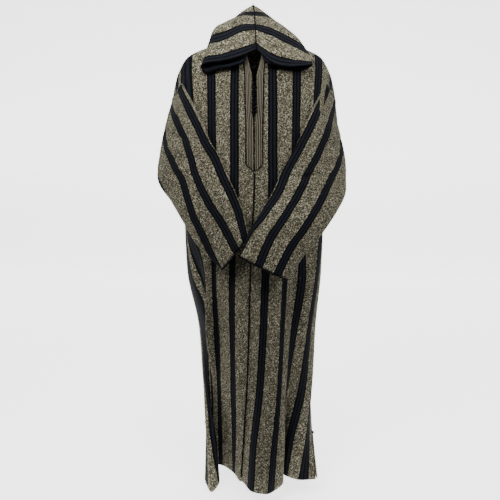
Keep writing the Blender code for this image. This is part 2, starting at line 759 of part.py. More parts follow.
def knot(name, centre, finish, width):
    bpy.ops.mesh.primitive_uv_sphere_add(segments=10, ring_count=6, radius=1.0, location=centre)
    made = bpy.context.object
    made.name = name
    made.scale = (KNOT_HALF_SIZE[0] * width, KNOT_HALF_SIZE[1], KNOT_HALF_SIZE[2])
    bpy.ops.object.transform_apply(location=False, rotation=False, scale=True)
    made.data.shade_smooth()
    made.data.materials.append(finish)
    for holder in list(made.users_collection):
        holder.objects.unlink(made)
    PARTS.objects.link(made)
    return made


def seat_knot(made, surfaces):
    """Moves a knot in or out until it stands a seam gap off the braids."""
    for _ in range(SEAT_ROUNDS):
        nearest = min(
            surface.find_nearest(vertex.co + made.location)[3]
            for surface in surfaces
            for vertex in made.data.vertices
        )
        made.location.y += nearest - BRAID_WALL / 2 - SEAM_GAP - KNOT_EASE


def open_side_slit(falls, grid, column, inner, shorter):
    """Opens the side slit: draws a panel's edge in below the end of the side seam."""
    for fall, row in zip(falls, grid):
        below = fall + shorter - SLIT_TOP_FALL
        if below > 0:
            share = below / (SKIRT_FALLS[-1] - SLIT_TOP_FALL)
            row[column] += (row[inner] - row[column]).normalized() * SLIT_OPENING * share


def build_panels(cloth):
    """The two fronts, the back and the sleeves, drawn apart at the seams that join them."""
    upper, lower = len(ARMHOLE_UPPER) - 1, len(ARMHOLE_LOWER) - 1
    head = upper + lower
    front_falls, back_falls = FRONT_FALLS, BACK_FALLS
    back = back_grid()
    middle = len(back[0]) // 2
    fronts, seated_back = {}, [[p.copy() for p in row] for row in back]
    for side, name in ((LEFT, "left"), (RIGHT, "right")):
        front, sleeve = front_grid(side), sleeve_grid(side)
        last = len(front[0]) - 1
        back_column = middle + side * last
        back_inner = back_column - side
        seated = [[p.copy() for p in row] for row in front]
        seated_sleeve = [[p.copy() for p in row] for row in sleeve]

        shoulder = [j for j, s in enumerate(HALF_SAMPLES) if s >= 80]
        front_line = [((0, j), (1, j)) for j in shoulder]
        back_line = [((0, middle + side * j), (1, middle + side * j)) for j in shoulder]
        seat(front, seated, front_line, [point_at(back, inner) for _, inner in back_line])
        seat(back, seated_back, back_line, [point_at(front, inner) for _, inner in front_line])

        seam_rows = range(head + 1, len(front))
        front_line = [((i, last), (i, last - 1)) for i in seam_rows]
        back_line = [((i, back_column), (i, back_inner)) for i in seam_rows]
        seat(front, seated, front_line, [point_at(back, inner) for _, inner in back_line])
        seat(back, seated_back, back_line, [point_at(front, inner) for _, inner in front_line])

        columns = len(sleeve[0]) - 1
        for i in range(head + 1):
            if i < upper:
                front_place = (1, TUCK_COLUMNS + 2 * (upper - i))
                back_place = (1, TUCK_COLUMNS + 2 * (upper + i))
            else:
                k = i - upper
                front_place = (k, 1) if k else (1, TUCK_COLUMNS)
                back_place = (k, columns - 1) if k else (1, columns)
            spread = ARMHOLE_SPREAD
            seat(front, seated, [((i, last), (i, last - 4))], [point_at(sleeve, front_place)],
                 spread)
            seat(back, seated_back, [((i, back_column), (i, back_column - 4 * side))],
                 [point_at(sleeve, back_place)], 3)
        for j in range(TUCK_COLUMNS, columns + 1):
            steps = (j - TUCK_COLUMNS) / 2 - upper
            panel, column = (front, last - 4) if steps < 0 else (back, back_column - 4 * side)
            i = int(abs(steps))
            beside = panel[i][column]
            if abs(steps) > i:
                beside = beside.lerp(panel[i + 1][column], 0.5)
            ease_out(seated_sleeve, sleeve, (0, j), (1, min(j, columns - 3)), beside)
        surface = surface_of(seated, flip=side == RIGHT)
        lap = WALL + SEAM_GAP + LAP_EASE
        corner = keep_clear(sleeve[0][TUCK_COLUMNS], surface, lap)
        for j in range(TUCK_COLUMNS + 1):
            seated_sleeve[0][j] = corner.copy()
        for k in range(1, lower + 1):
            for j in range(TUCK_COLUMNS + 1):
                gap = TUCK_CLEAR if j else lap + (CORNER_EASE if k == 1 else 0)
                seated_sleeve[k][j] = keep_clear(seated_sleeve[k][j], surface, gap)
        for k in (lower - 1, lower):
            seated_sleeve[k][0].x += side * UNDERARM_EASE
        lift_faces(seated_sleeve, surface, lower + 1, TUCK_COLUMNS + 3, lap)
        for k in range(1, lower + 1):
            if k < lower:
                ease_out(seated_sleeve, sleeve, (k, columns), (k, columns - 1),
                         back[upper + k][back_column - 4 * side])
        seated_sleeve[lower][columns] = seated_sleeve[lower][0].copy()

        open_neck_slit(side, front_falls, seated)
        for row in seated:
            row[0].x += side * SEAM_GAP / 2
        open_side_slit(front_falls, seated, last, last - 1, 0)
        open_side_slit(back_falls, seated_back, back_column, back_inner, BACK_SHORTER)
        cloth_sheet("front_" + name, seated, cloth, flip=side == LEFT)
        cloth_sheet("sleeve_" + name, seated_sleeve, cloth, weld=True, flip=side == RIGHT)
        fronts[side] = (front_falls, seated)
        build_cuff_cord("cuff_cord_" + name, seated_sleeve)
    cloth_sheet("back", seated_back, cloth)
    back_surface = surface_of(seated_back, flip=False)
    surfaces = {}
    for side in (LEFT, RIGHT):
        surfaces[side] = (surface_of(fronts[side][1], flip=side == RIGHT), back_surface)
    return fronts, surfaces


def ease_out(moved, grid, edge, inner, beside):
    """Draws a sleeve's edge back from the panel it is sewn to, with some ease."""
    towards = point_at(grid, inner) - point_at(grid, edge)
    pull = seam_pull(point_at(grid, edge), point_at(grid, inner), beside)
    moved[edge[0]][edge[1]] += pull + towards.normalized() * LAP_EASE


def build_cuff_cord(name, sleeve):
    """Cord that edges a cuff."""
    cuff, before = sleeve[-1][:-1], sleeve[-2][:-1]
    along = sum((end - inner for end, inner in zip(cuff, before)), Vector()).normalized()
    ring = [end + along * (CORD_RADIUS + SEAM_GAP + CUFF_EASE) for end in cuff]
    cord(name, ring, black_cord, closed=True)


def build_braids(fronts, braid_finish, black):
    """Braid bands beside the neck slit, the cord round them and the cord down the front."""
    surfaces = []
    for side, name in ((LEFT, "left"), (RIGHT, "right")):
        falls, grid = fronts[side]
        rows = [i for i, fall in enumerate(falls) if 0 < fall <= BRAID_END_FALL]
        rise = WALL / 2 + SEAM_GAP + BRAID_WALL / 2
        band = []
        outline = []
        for i in rows:
            edge, inner = grid[i][0], grid[i][1]
            out_a, out_b = outward(grid, i, 0), outward(grid, i, 1)
            start = edge.lerp(inner, 0.08) + out_a * rise
            end = edge.lerp(inner, 0.80) + out_b * rise
            band.append([start, end])
            outline.append(edge.lerp(inner, 0.92) + out_b * (WALL / 2 + SEAM_GAP + CORD_RADIUS))
        cloth_sheet("braid_" + name, band, braid_finish, wall=BRAID_WALL, flip=side == LEFT)
        cord("braid_cord_" + name, outline, black)
        surfaces.append(surface_of(band, flip=side == RIGHT))
    falls, grid = fronts[LEFT]
    rise = WALL / 2 + SEAM_GAP + CORD_RADIUS
    line = []
    for i, fall in enumerate(falls):
        if fall >= BRAID_END_FALL:
            line.append(grid[i][0] + outward(grid, i, 0) * rise)
    cord("front_cord", line, black)
    return surfaces


def build_knots(fronts, black, surfaces):
    """Knot buttons bridging the neck slit, seated on the two braids."""
    falls_l, left = fronts[LEFT]
    falls_r, right = fronts[RIGHT]
    for number, fall in enumerate((TOP_KNOT_FALL,) + KNOT_FALLS, start=1):
        place_l = spline([(f, row[0]) for f, row in zip(falls_l, left)], fall)
        place_r = spline([(f, row[0]) for f, row in zip(falls_r, right)], fall)
        centre = place_l.lerp(place_r, 0.5)
        centre.y -= WALL / 2 + SEAM_GAP + BRAID_WALL + SEAM_GAP + KNOT_HALF_SIZE[1]
        width = TOP_KNOT_WIDTH if number == 1 else 1
        seat_knot(knot("knot_%02d" % number, centre, black, width), surfaces)


def build_hood(cloth, black, surfaces):
    grids = {side: hood_grid(side) for side in (LEFT, RIGHT)}
    seated = seat_hood(grids, surfaces)
    cloth_sheet("hood_left", seated[LEFT], cloth)
    cloth_sheet("hood_right", seated[RIGHT], cloth, flip=True)
    seam = []
    grid = grids[LEFT]
    for i, row in enumerate(grid):
        ahead = grid[min(i + 1, len(grid) - 1)][-1] - grid[max(i - 1, 0)][-1]
        out = Vector((0, -ahead.z, ahead.y)).normalized()
        seam.append(row[-1] + out * (WALL / 2 + SEAM_GAP + CORD_RADIUS))
    cord("hood_cord", seam, black)


for item in list(bpy.data.objects):
    bpy.data.objects.remove(item, do_unlink=True)
PARTS = bpy.data.collections.new("djellaba")
bpy.context.scene.collection.children.link(PARTS)

wool = material("striped wool cloth", TAUPE, 0.95)
braiding = material("flat braid", BRAID, 0.85)
black_cord = material("black cord", BLACK, 0.8)

front_halves, panel_surfaces = build_panels(wool)
braid_surfaces = build_braids(front_halves, braiding, black_cord)
build_knots(front_halves, black_cord, braid_surfaces)
build_hood(wool, black_cord, panel_surfaces)
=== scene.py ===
import json
import math

import bpy
import numpy as np
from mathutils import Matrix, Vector
from mathutils.bvhtree import BVHTree

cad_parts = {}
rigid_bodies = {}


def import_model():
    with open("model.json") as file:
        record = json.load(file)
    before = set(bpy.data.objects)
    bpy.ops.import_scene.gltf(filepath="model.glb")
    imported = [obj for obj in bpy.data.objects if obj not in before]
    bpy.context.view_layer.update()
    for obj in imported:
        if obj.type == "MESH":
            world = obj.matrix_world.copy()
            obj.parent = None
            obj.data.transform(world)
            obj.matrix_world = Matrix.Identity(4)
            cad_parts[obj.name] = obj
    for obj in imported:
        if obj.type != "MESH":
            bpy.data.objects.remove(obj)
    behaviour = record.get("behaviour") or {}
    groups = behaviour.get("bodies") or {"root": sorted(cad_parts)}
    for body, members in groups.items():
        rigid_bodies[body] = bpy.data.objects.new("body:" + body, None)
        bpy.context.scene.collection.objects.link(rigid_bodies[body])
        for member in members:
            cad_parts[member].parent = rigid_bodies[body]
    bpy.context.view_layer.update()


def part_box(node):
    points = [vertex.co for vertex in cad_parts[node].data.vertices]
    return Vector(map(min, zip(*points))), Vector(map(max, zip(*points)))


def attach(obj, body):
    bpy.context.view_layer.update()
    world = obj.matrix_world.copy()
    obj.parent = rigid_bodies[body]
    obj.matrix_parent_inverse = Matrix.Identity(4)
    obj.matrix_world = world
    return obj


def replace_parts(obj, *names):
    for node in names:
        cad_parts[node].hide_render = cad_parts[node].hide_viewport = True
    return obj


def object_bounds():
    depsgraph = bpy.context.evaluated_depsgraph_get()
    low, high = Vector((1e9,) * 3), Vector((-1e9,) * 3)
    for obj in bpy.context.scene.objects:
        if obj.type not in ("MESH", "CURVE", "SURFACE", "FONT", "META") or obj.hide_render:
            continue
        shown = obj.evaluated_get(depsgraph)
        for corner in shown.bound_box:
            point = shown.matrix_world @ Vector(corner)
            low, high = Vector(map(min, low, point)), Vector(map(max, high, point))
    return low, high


# %% [markdown]
# # A striped hooded robe
# This notebook dresses a packed garment: a long Moroccan robe with a pointed hood, worn by nobody.
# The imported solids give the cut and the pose. Here each of them is replaced by a thin, finely
# divided sheet of cloth on the same surface, with creases, stripes, braid, cords and knots.

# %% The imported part
for item in list(bpy.data.objects):
    bpy.data.objects.remove(item, do_unlink=True)
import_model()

# %% [markdown]
# ## A smooth line through a short table
# The surfaces come from short tables: a point of cloth at a few falls (distances down from the
# shoulder) and a few distances s across from the centre line. `curve` joins them smoothly. It
# reads a whole list of places at once, so a surface is two passes: across, then down.

# %% Curves
# Tables are in millimetres, and Blender's unit is the metre. Left and right are the viewer's.
MM = 0.001
LEFT, RIGHT = -1, 1


def curve(knots, values, at, before=None):
    """Smooth line through values at their knots, read at every place asked for."""
    knots, values = np.asarray(knots, float), np.asarray(values, float)
    if before is not None:
        knots = np.concatenate([[before[0]], knots])
        values = np.concatenate([[before[1]], values])
    wide = (-1,) + (1,) * (values.ndim - 1)
    steps = np.diff(knots)
    slopes = np.diff(values, axis=0) / steps.reshape(wide)
    near, far = steps[:-1].reshape(wide), steps[1:].reshape(wide)
    tangents = np.concatenate([slopes[:1], slopes])
    tangents[1:-1] = (slopes[:-1] * far + slopes[1:] * near) / (near + far)
    at = np.atleast_1d(np.asarray(at, float))
    i = np.clip(np.searchsorted(knots, at, side="right") - 1, 0, len(knots) - 2)
    u = ((at - knots[i]) / steps[i]).reshape(wide)
    span = steps[i].reshape(wide)
    return (values[i] * (2 * u ** 3 - 3 * u ** 2 + 1)
            + tangents[i] * span * (u ** 3 - 2 * u ** 2 + u)
            + values[i + 1] * (3 * u ** 2 - 2 * u ** 3)
            + tangents[i + 1] * span * (u ** 3 - u ** 2))


def smooth_step(value, low, high):
    """0 below low, 1 above high and a soft rise between them."""
    x = np.clip((np.asarray(value, float) - low) / (high - low), 0, 1)
    return x * x * (3 - 2 * x)


def unit(vectors):
    """Vectors brought to length 1."""
    return vectors / np.maximum(np.linalg.norm(vectors, axis=-1, keepdims=True), 1e-12)


print("a curve through 0, 1, 0 is", float(curve((0, 1, 2), (0, 1, 0), 0.5)[0]), "at a half")

# %% [markdown]
# ## The body's tables
# The robe's front is two panels joined down the middle, and its back is one. All tables are in
# millimetres. Across a panel, `s` runs from its centre line to its side seam. The robe is closed
# down its front, faces -Y, and hangs with both sleeves folded. Few points are used, so that each
# can be set against the photo.

# %% Falls and shoulder
# Distances s: to the side of the neck, and to the side seam
NECK_SIDE = 80
HALF_WIDTH = 375
# Falls: the corner of the armhole's front edge, the underarm, the top of the side slit, the hem
CORNER_FALL = 100
ARMPIT_FALL = 395
SLIT_TOP_FALL = 1145
FRONT_LENGTH = 1275
# A level's fall down the back is less than down the front by this
BACK_SHORTER = 105
# Share of the sleeve's length at which the armhole's edge is used up
ARMPIT_SHARE = 0.5

# Shoulder line from the side of the neck to the head of the sleeve
RIDGE = (
    (80, (76, -4, -2)),
    (125, (122, 0, -14)),
    (160, (155, 0, -24)),
    (205, (196, 0, -46)),
    (250, (220, 0, -85)),
    (310, (233, 0, -125)),
    (375, (240, 0, -160)),
)
FRONT_NECK = ((0, (21, -72, -32)), (52, (54, -43, -13)), (80, (76, -4, -2)))
BACK_NECK = ((0, (0, 72, 6)), (52, (54, 46, 4)), (80, (76, -4, -2)))

# Armhole, from the shoulder round the front to the underarm, and round the back
ARMHOLE_FRONT = (
    (0, (240, 0, -160)),
    (45, (224, -29, -139)),
    (100, (207, -50, -121)),
    (185, (197, -78, -200)),
    (285, (194, -70, -300)),
    (395, (204, 25, -405)),
)
ARMHOLE_BACK = (
    (0, (240, 0, -160)),
    (60, (238, 50, -215)),
    (160, (226, 68, -310)),
    (290, (204, 25, -405)),
)

# Upper front, both sides alike: fall, then the place of the cloth at each distance
YOKE_COLUMNS = (0, 55, 125, 160, 205, 250, 310, 375)
YOKE = (
    (45, ((8, -100, -72), (54, -92, -70), (121, -70, -72), (154, -55, -76),
          (193, -36, -88), (209, -33, -108), (217, -31, -124), (224, -29, -139))),
    (100, ((5, -112, -125), (55, -108, -125), (121, -90, -125), (153, -76, -124),
           (187, -60, -122), (194, -57, -122), (201, -53, -121), (207, -50, -121))),
    (185, ((1, -122, -210), (56, -120, -210), (120, -104, -209), (151, -90, -208),
           (182, -80, -205), (188, -79, -203), (193, -78, -201), (197, -78, -200))),
    (285, ((0, -130, -310), (56, -130, -310), (119, -115, -309), (150, -100, -308),
           (180, -80, -305), (186, -76, -303), (190, -73, -301), (194, -70, -300))),
    (395, ((0, -138, -420), (57, -138, -420), (118, -124, -418), (149, -106, -416),
           (181, -76, -413), (200, -42, -411), (207, -8, -408), (204, 25, -405))),
)
print(len(YOKE), "levels in the yoke")

# %% [markdown]
# ## Folds of the skirt
# Below the belly the robe falls in a few deep folds, and some stripes turn away into them. Each
# level of the skirt is a plan, seen from above, with a point of cloth at every turn of a fold. A
# cloth simulation could hang folds too, but it would find its own, and these are the photo's.

# %% Folds of the skirt
# Skirt of the front: fall, height, then the plan of the folds at each distance
LEFT_COLUMNS = (0, 55, 125, 160, 205, 250, 310, 375)
LEFT_FOLDS = (
    (555, -580, ((-8, -152), (-62, -148), (-118, -122), (-147, -102),
                 (-181, -66), (-203, -26), (-213, 30), (-198, 90))),
    (675, -700, ((-12, -165), (-64, -152), (-118, -116), (-143, -112),
                 (-153, -74), (-188, -38), (-206, 18), (-198, 80))),
    (835, -860, ((-16, -172), (-64, -150), (-112, -98), (-142, -110),
                 (-137, -76), (-157, -42), (-174, 14), (-166, 75))),
    (995, -1020, ((-22, -182), (-61, -144), (-108, -88), (-123, -84),
                  (-136, -80), (-149, -72), (-160, -42), (-154, 10))),
    (1145, -1170, ((-31, -184), (-60, -138), (-106, -76), (-124, -72),
                   (-133, -98), (-119, -124), (-148, -104), (-150, -42))),
    (1275, -1300, ((-39, -186), (-62, -136), (-104, -77), (-126, -74),
                   (-130, -104), (-108, -132), (-129, -166), (-152, -118))),
)
LEFT_HEM_DROP = (0, 0, -5, -5, -12, -25, -47, -40)
RIGHT_COLUMNS = (0, 55, 90, 125, 155, 205, 265, 320, 375)
RIGHT_FOLDS = (
    (555, -580, ((-8, -152), (40, -140), (68, -128), (95, -112), (117, -97),
                 (152, -72), (204, -22), (212, 28), (198, 80))),
    (675, -700, ((-12, -165), (36, -150), (63, -138), (91, -118), (113, -98),
                 (152, -74), (193, -34), (210, 16), (202, 70))),
    (835, -860, ((-16, -172), (29, -188), (54, -182), (83, -158), (99, -132),
                 (124, -112), (169, -80), (190, -32), (186, 22))),
    (995, -1020, ((-22, -182), (18, -212), (45, -218), (73, -208), (88, -188),
                  (100, -150), (145, -128), (178, -88), (178, -34))),
    (1145, -1170, ((-31, -184), (0, -232), (28, -245), (58, -238), (86, -214),
                   (88, -160), (106, -186), (154, -164), (180, -115))),
    (1275, -1300, ((-39, -186), (-8, -244), (23, -257), (48, -252), (84, -206),
                   (84, -148), (97, -167), (138, -181), (193, -172))),
)
RIGHT_HEM_DROP = (0, 0, 0, 0, 0, 10, 8, 2, 0)

# Back, half by half: fall, height, then x and y at each distance
BACK_COLUMNS = (0, 110, 205, 290, 375)
BACK_TOP = (
    (60, ((0, 98, -48), (107, 62, -52), (193, 52, -92), (226, 52, -150), (238, 50, -215))),
    (160, ((0, 118, -150), (108, 104, -152), (187, 86, -180), (218, 78, -240), (226, 68, -310))),
    (290, ((0, 126, -280), (106, 120, -282), (180, 100, -300), (206, 66, -350), (204, 25, -405))),
)
BACK_LEFT = (
    (450, -580, ((0, 148), (-76, 144), (-138, 132), (-180, 114), (-198, 90))),
    (570, -700, ((0, 152), (-74, 148), (-136, 134), (-178, 110), (-198, 80))),
    (730, -860, ((2, 142), (-66, 138), (-120, 124), (-154, 104), (-166, 75))),
    (890, -1020, ((6, 124), (-58, 120), (-108, 104), (-142, 66), (-154, 10))),
    (1040, -1170, ((9, 106), (-54, 101), (-102, 84), (-140, 30), (-150, -42))),
    (1170, -1300, ((12, 96), (-52, 92), (-102, 72), (-144, -14), (-152, -118))),
)
BACK_RIGHT = (
    (450, -580, ((0, 148), (76, 144), (138, 131), (180, 110), (198, 80))),
    (570, -700, ((0, 152), (76, 147), (140, 130), (184, 102), (202, 70))),
    (730, -860, ((2, 142), (72, 135), (130, 114), (172, 74), (186, 22))),
    (890, -1020, ((6, 124), (72, 116), (130, 92), (168, 36), (178, -34))),
    (1040, -1170, ((9, 106), (76, 97), (134, 66), (174, -14), (180, -115))),
    (1170, -1300, ((12, 96), (82, 86), (142, 50), (184, -56), (193, -172))),
)
BACK_HEM_DROP_LEFT = (0, 0, 0, -8, -40)

# Soft folds down the back: distance from the centre, half width, depth at the hem, where it starts
BACK_FOLDS = (
    (-290, 52, 20, 330),
    (-205, 46, -24, 300),
    (-118, 50, 26, 150),
    (-32, 44, -24, 190),
    (56, 48, 28, 120),
    (140, 44, -22, 220),
    (222, 48, 24, 280),
    (300, 44, -16, 380),
)
print(len(BACK_FOLDS), "soft folds down the back")

# %% [markdown]
# ## Sleeves
# Each sleeve is a wide tube that lies folded flat over the belly, with its cuff near the middle.
# It is drawn as sections at shares of its length. A section needs the fold that faces the middle,
# the outer edge on the elbow's side, and how far the front bulges between them.

# %% Sleeves
# Sleeves: share of the length, front fold, outer edge and bulge of the front
LEFT_SLEEVE = (
    (0.13, (-182, -97, -161), (-252, -15, -204), 16),
    (0.26, (-164, -120, -195), (-264, -25, -253), 22),
    (0.38, (-141, -142, -241), (-279, -37, -326), 26),
    (0.50, (-121, -154, -290), (-285, -60, -389), 28),
    (0.64, (-90, -166, -345), (-242, -105, -451), 24),
    (0.79, (-54, -178, -422), (-195, -146, -521), 20),
    (0.91, (-32, -184, -478), (-155, -165, -582), 17),
    (1.00, (-18, -190, -541), (-92, -188, -638), 16),
)
RIGHT_SLEEVE = (
    (0.13, (169, -97, -184), (246, -15, -230), 16),
    (0.26, (153, -120, -219), (258, -25, -283), 22),
    (0.38, (128, -142, -274), (269, -37, -341), 26),
    (0.50, (100, -158, -332), (268, -65, -392), 28),
    (0.64, (63, -180, -402), (254, -115, -450), 26),
    (0.79, (21, -207, -472), (198, -177, -528), 22),
    (0.91, (-12, -222, -526), (143, -204, -589), 18),
    (1.00, (-37, -232, -592), (92, -228, -658), 16),
)
# Underside of each sleeve below the underarm: share of the length and place of its middle
LEFT_UNDER = (
    (0.50, (-204, 25, -405)),
    (0.55, (-228, -24, -418)),
    (0.60, (-210, -90, -424)),
    (0.67, (-158, -124, -408)),
    (0.79, (-124, -143, -472)),
    (0.91, (-93, -159, -530)),
    (1.00, (-55, -174, -590)),
)
RIGHT_UNDER = (
    (0.50, (204, 25, -405)),
    (0.55, (228, -24, -418)),
    (0.60, (212, -90, -426)),
    (0.67, (150, -132, -428)),
    (0.79, (110, -174, -500)),
    (0.91, (66, -198, -558)),
    (1.00, (28, -214, -626)),
)
# How far the cloth tucked under the front fold is held off the body: share of the length,
# forward at two places across it, and sideways at the second of them
TUCK_LIFT = (
    (0.0, 0, 0, 0),
    (0.13, 0, 2, 2),
    (0.26, 4, 8, 8),
    (0.38, 10, 20, 22),
    (0.50, 26, 40, 34),
    (0.57, 22, 32, 22),
    (0.66, 4, 4, 2),
    (1.0, 0, 0, 0),
)
print(len(LEFT_SLEEVE), "sections in a sleeve")

# %% [markdown]
# ## Hood
# The hood is two halves sewn together over the crown, and it stands open with a point behind. Each
# half is a fan of arches, from the rim in front to the seam at the back. An arch climbs from the
# neck seam to the crown in nine points, which also draw the rim's roll and the cloth's slack.

# %% Hood
# Hood: distance back from the rim, place on the neck seam from front to nape, then each arch
HOOD_LEFT = (
    (0, 0.00, ((-27, -114, -62), (-62, -118, -76), (-105, -104, -84), (-138, -84, -94),
               (-150, -80, -74), (-133, -98, -66), (-86, -118, -61), (-40, -120, -50),
               (6, -88, -28))),
    (83, 0.34, ((-68, -48, 2), (-84, -54, -8), (-108, -48, -16), (-124, -38, -14),
                (-130, -32, -4), (-121, -40, 4), (-87, -48, 12), (-36, -44, 34),
                (3, -33, 39))),
    (118, 0.48, ((-80, -12, 10), (-92, -10, 8), (-106, -6, 8), (-116, 2, 12),
                 (-121, 8, 24), (-110, 4, 42), (-80, -2, 52), (-38, -4, 62),
                 (2, -4, 62))),
    (153, 0.62, ((-76, 24, 8), (-84, 28, 8), (-92, 32, 12), (-96, 36, 20),
                 (-97, 38, 32), (-86, 40, 50), (-62, 36, 66), (-31, 30, 80),
                 (1, 24, 81))),
    (210, 0.78, ((-56, 62, 6), (-66, 68, 4), (-78, 74, 8), (-84, 76, 20),
                 (-82, 78, 36), (-68, 80, 60), (-46, 78, 82), (-22, 76, 100),
                 (-3, 74, 112))),
    (260, 0.90, ((-34, 80, -2), (-46, 92, -8), (-56, 104, -8), (-62, 112, 2),
                 (-60, 116, 20), (-50, 118, 42), (-34, 118, 62), (-16, 116, 78),
                 (-2, 114, 88))),
    (300, 0.97, ((-14, 86, -8), (-22, 100, -20), (-28, 116, -28), (-32, 130, -24),
                 (-31, 140, -8), (-26, 146, 12), (-18, 148, 30), (-9, 148, 44),
                 (-1, 146, 52))),
    (330, 1.00, ((0, 84, -6), (0, 98, -24), (0, 116, -40), (0, 132, -44),
                 (0, 146, -36), (0, 156, -22), (0, 162, -6), (0, 165, 8),
                 (0, 164, 20))),
)
HOOD_RIGHT = (
    (0, 0.00, ((30, -114, -62), (64, -110, -78), (104, -98, -84), (146, -80, -82),
               (165, -76, -68), (148, -90, -72), (98, -112, -77), (52, -120, -68),
               (6, -88, -28))),
    (83, 0.34, ((66, -48, 2), (84, -52, -10), (112, -46, -22), (140, -38, -34),
                (156, -32, -34), (143, -36, -22), (97, -44, 2), (40, -42, 28),
                (3, -33, 39))),
    (118, 0.48, ((80, -12, 8), (94, -10, 4), (110, -6, 0), (126, 0, 0),
                 (130, 6, 6), (118, 4, 20), (84, 0, 40), (42, -2, 56),
                 (2, -4, 62))),
    (153, 0.62, ((76, 24, 8), (84, 28, 8), (92, 32, 10), (98, 36, 16),
                 (98, 38, 26), (84, 40, 42), (60, 36, 62), (30, 30, 79),
                 (1, 24, 81))),
    (210, 0.78, ((56, 62, 6), (66, 68, 4), (78, 74, 8), (82, 76, 20),
                 (78, 78, 36), (62, 80, 60), (38, 78, 82), (14, 76, 102),
                 (-3, 74, 112))),
    (260, 0.90, ((34, 80, -2), (46, 92, -8), (56, 104, -8), (62, 112, 2),
                 (60, 116, 20), (48, 118, 42), (30, 118, 62), (12, 116, 78),
                 (-2, 114, 88))),
    (300, 0.97, ((14, 86, -8), (22, 100, -20), (28, 116, -28), (32, 130, -24),
                 (31, 140, -8), (26, 146, 12), (17, 148, 30), (7, 148, 44),
                 (-1, 146, 52))),
    (330, 1.00, ((0, 84, -6), (0, 98, -24), (0, 116, -40), (0, 132, -44),
                 (0, 146, -36), (0, 156, -22), (0, 162, -6), (0, 165, 8),
                 (0, 164, 20))),
)
print(len(HOOD_LEFT), "arches in half a hood")

# %% [markdown]
# ## Edges that two pieces share
# On the real robe the panels are sewn to each other along the shoulders, armholes and sides. Both
# pieces of a seam are drawn to one line here, read from the same table, so that no gap shows.

# %% Edges of a panel
def placed(points, side=RIGHT):
    """Points of a table in metres, mirrored for the left."""
    return np.asarray(points, float) * (side, 1, 1) * MM


def edge_line(table, side, at, before=None):
    """An edge of the cloth, read along its table."""
    knots = [row[0] for row in table]
    return curve(knots, placed([row[1] for row in table], side), at, before=before)


def top_line(table, side, s):
    """Upper edge of a panel: the neckline, then the shoulder line."""
    before = None
    if table is BACK_NECK:
        before = (-table[1][0], placed(table[1][1], -side))
    neck = edge_line(table, side, np.minimum(s, NECK_SIDE), before=before)
    shoulder = edge_line(RIDGE, side, np.maximum(s, NECK_SIDE))
    return np.where((s < NECK_SIDE)[:, None], neck, shoulder)


def armhole_line(side, fall, front):
    """Armhole edge, from the shoulder down its front, which turns a corner, or down its back."""
    table, other = (ARMHOLE_FRONT, ARMHOLE_BACK) if front else (ARMHOLE_BACK, ARMHOLE_FRONT)
    fall = np.atleast_1d(np.asarray(fall, float))
    before = (-other[1][0], placed(other[1][1], side))
    whole = edge_line(table, side, fall, before=before)
    if front:
        lower = [row for row in table if row[0] >= CORNER_FALL]
        below = edge_line(lower, side, fall)
        whole = np.where((fall > CORNER_FALL)[:, None], below, whole)
    return whole


def skirt_of(side):
    """Folds of a front half, and how far each of its points hangs below the hem's level."""
    return (LEFT_FOLDS, LEFT_HEM_DROP) if side == LEFT else (RIGHT_FOLDS, RIGHT_HEM_DROP)


def side_seam_line(side, fall):
    """Side seam from the underarm to the hem."""
    folds, drops = skirt_of(side)
    falls, points = [ARMPIT_FALL], [placed(ARMHOLE_FRONT[-1][1], side)]
    for level, height, plan in folds:
        drop = drops[-1] if level == folds[-1][0] else 0
        falls.append(level)
        points.append(placed((*plan[-1], height + drop)))
    return curve(falls, points, fall)


print("the side of the neck is at", edge_line(RIDGE, RIGHT, NECK_SIDE)[0].round(3))

# %% [markdown]
# ## Levels down a panel
# A level is one line across the cloth, from the centre line to the side seam. The upper levels
# follow the chest, and the lower ones wind through the folds. They are read as curves, because
# cloth turns softly, and a fold's crease needs only the points on both sides of it.

# %% Levels of a panel
def across(columns, points, s):
    """One level of a half panel, continued over its centre line so that it stays smooth there."""
    beyond = points[1] * (-1, 1, 1) + points[0] * (2, 0, 0)
    return curve(columns, points, s, before=(-columns[1], beyond))


def front_levels(side, s):
    """Falls of a front half's levels, and the cloth's places at distances s along each."""
    levels, rows = [0], [top_line(FRONT_NECK, side, s)]
    for fall, points in YOKE:
        levels.append(fall)
        rows.append(across(YOKE_COLUMNS, placed(points, side), s))
    folds, drops = skirt_of(side)
    columns = LEFT_COLUMNS if side == LEFT else RIGHT_COLUMNS
    for fall, height, plan in folds:
        at_hem = fall == folds[-1][0]
        points = [(x, y, height + (drop if at_hem else 0)) for (x, y), drop in zip(plan, drops)]
        levels.append(fall)
        rows.append(across(columns, placed(points), s))
    return levels, rows


def back_levels(side, s):
    """The same for one half of the back."""
    levels, rows = [0], [top_line(BACK_NECK, side, s)]
    for fall, points in BACK_TOP:
        levels.append(fall)
        rows.append(across(BACK_COLUMNS, placed(points, side), s))
    folds = BACK_LEFT if side == LEFT else BACK_RIGHT
    for fall, height, plan in folds:
        at_hem = side == LEFT and fall == folds[-1][0]
        drops = BACK_HEM_DROP_LEFT if at_hem else (0,) * len(plan)
        points = [(x, y, height + drop) for (x, y), drop in zip(plan, drops)]
        levels.append(fall)
        rows.append(across(BACK_COLUMNS, placed(points), s))
    return levels, rows


print(len(front_levels(LEFT, np.array((0.0, 100.0)))[0]), "levels down a front half")

# %% [markdown]
# ## The body sheets
# A net of points is read at the levels first, and then down the falls. Outside the neck each panel
# is carried on over the shoulder to the other's first level, so that both round over it together.
# The last columns are then drawn to the armhole and the side seam, which both panels share.

# %% Body sheets
# Widths at the side: where the back's folds fade out, and where the seams start to draw the cloth
FOLD_FADE = 60
DRAWN_FROM = 300


